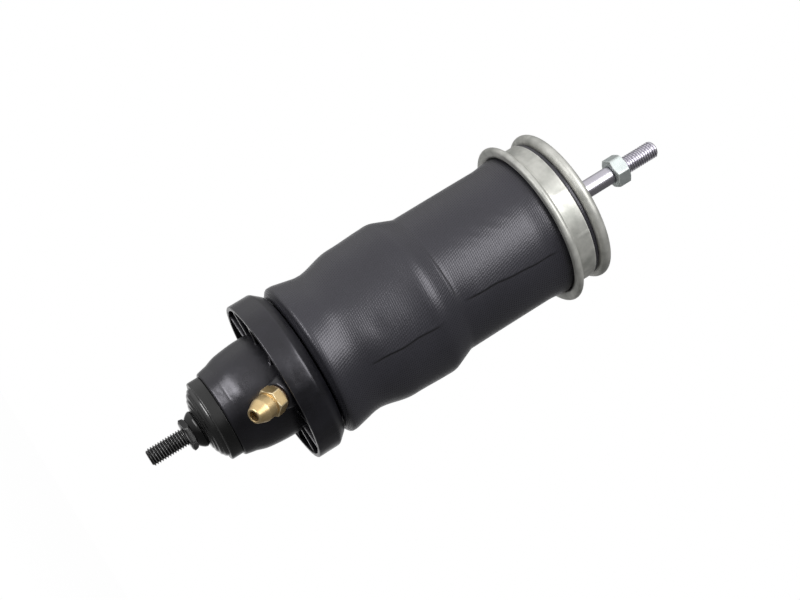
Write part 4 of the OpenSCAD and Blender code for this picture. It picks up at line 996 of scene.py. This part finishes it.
chrome = turned_metal("rod_chrome", (190, 187, 196), (206, 203, 211), (220, 218, 224), 0.28, 0.000001)
finish(piston_rod, chrome, "upper", "piston_rod")

# The piston
# A sintered piston with a low-friction band round it. Stacks of spring steel discs close its ports on both
# sides, and a nut holds them. Above them a steel ring on the rod carries the rubber rebound buffer.

dress(iron, "damper_piston")
slide_plastic = moulded_plastic("slide_band", 34, 44, 80, 0.42, 0.000006)
dress(slide_plastic, "piston_ring")
dress(spring, "compression_discs", "rebound_discs")
dress(drawn_steel, "piston_nut", "rebound_stop")

buffer_r, buffer_bore, buffer_z, buffer_top = 10.0, 6.06, 132.0, 136.0
line = outline([
    (buffer_bore, buffer_z, 0.3), (buffer_r, buffer_z, 0.7),
    (buffer_r - 0.25, (buffer_z + buffer_top) / 2, 1.2), (buffer_r, buffer_top, 0.7),
    (buffer_bore, buffer_top, 0.3)], step=0.5)
rebound_buffer = turned("rebound_buffer", line)
finish(rebound_buffer, bush_rubber, "upper", "rebound_buffer")

# The bump stop and the seat
# A block of foamed urethane with a waist, which is squeezed on the striker cap at the end of the stroke. The
# steel seat over it stands on the shoulder of the rod, and its O-ring keeps the air in under the end plate.

bump_bore, foot_r, bump_waist_r, bump_r = 6.55, 10.5, 13.6, 17.0
bump_z, swell, waist, head = 215.7, (15.0, 221.6), (bump_waist_r, 224.2), (bump_r, 227.5)
line = outline([
    (bump_bore, bump_z, 0.4), *rise((foot_r, bump_z), swell, 8), *rise(swell, waist, 6),
    *rise(waist, head, 8), (*head, 0.4), (bump_r, seat_z, 0.8), (bump_bore, seat_z, 0.4)], step=0.9, curve=3)
bump_stop = turned("bump_stop", line)
foam, tree, shader = blank("bump_foam")
place = add(tree, "TexCoord").outputs["Object"]
cells = add(tree, "TexVoronoi", {"Vector": place, "Scale": 1500.0}).outputs["Distance"]
cloud = mottled(tree, 70.0, 900.0)
cream = blend_of(tree, cloud["Broad"], shade((196, 176, 126)), shade((216, 198, 148)))
join(tree, shader, {
    "Base Color": blend_of(tree, spread(tree, cells, 0.15, 0.55), shade((150, 130, 88)), cream),
    "Roughness": spread(tree, cloud["Fine"], 0, 1, 0.62, 0.82),
    "Normal": bumps(tree, cells, 0.5, 0.0001)})
finish(bump_stop, foam, "upper", "bump_stop")
dress(drawn_steel, "plate_seat")

o_ring_mid, o_ring_z, o_ring_cord = 5.84, 234.15, 0.7
rod_o_ring = turned("rod_o_ring", bow((o_ring_mid, o_ring_z), o_ring_cord, 0, 340, 18), 120)
finish(rod_o_ring, seal_rubber, "upper", "rod_o_ring")

# The washer, the snap ring and the nut
# The washer and the sprung ring in the groove hold the plate down on its seat. The nut comes with the
# absorber, run part of the way down the thread.

plate_top, washer_hole, washer_edge = plate_mid + plate_wall / 2, 5.14, 11.1
line = outline([(washer_hole, plate_top, 0.1), (washer_edge, plate_top, 0.1), (washer_edge, snap_z, 0.35),
                (washer_hole, snap_z, 0.2)], step=0.5)
plate_washer = turned("plate_washer", line)
finish(plate_washer, zinc, "upper", "plate_washer")

snap_in, snap_out, snap_top, mouth, turn_rows = 4.66, 7.1, snap_z + snap_wall, 3.0, 120
section = outline([(snap_in, snap_z, 0.2), (snap_out, snap_z, 0.25), (snap_out, snap_top, 0.25),
                   (snap_in, snap_top, 0.2)], step=0.4)
half_mouth = math.asin(mouth / 2 / rod_r)
turn = np.linspace(half_mouth, 2 * math.pi - half_mouth, turn_rows)[:, None]
height = np.broadcast_to(section[:, 1], (turn_rows, len(section)))
snap_ring = carried("snap_ring", section[:, 0], height, turn, loop=False)
finish(snap_ring, spring, "upper", "snap_ring")

nut_bore, nut_turn, nut_corner_r, washer_face_r, nut_face_r = 4.16, 46.0, 9.25, 5.2, 7.7
line = outline([
    (nut_bore, nut_z + 1.0, 0.2), (washer_face_r, nut_z, 0.15), (nut_face_r, nut_z, 0.3),
    (nut_corner_r, nut_z + 0.85, 0.2), (nut_corner_r, nut_top - 0.85, 0.2), (nut_face_r, nut_top, 0.3),
    (washer_face_r, nut_top, 0.15), (nut_bore, nut_top - 1.0, 0.2)], step=0.7)
r, z, angle = around(line)
r = np.where(r > washer_face_r + 0.2, np.minimum(r, hexagon(angle, nut_af, nut_turn)), r)
upper_nut = carried("upper_nut", r, z, angle)
nut_zinc = turned_metal("nut_zinc", (184, 191, 190), (208, 215, 213), (226, 230, 228), 0.46, 0.000002, 0.75)
finish(upper_nut, nut_zinc, "upper", "upper_nut")
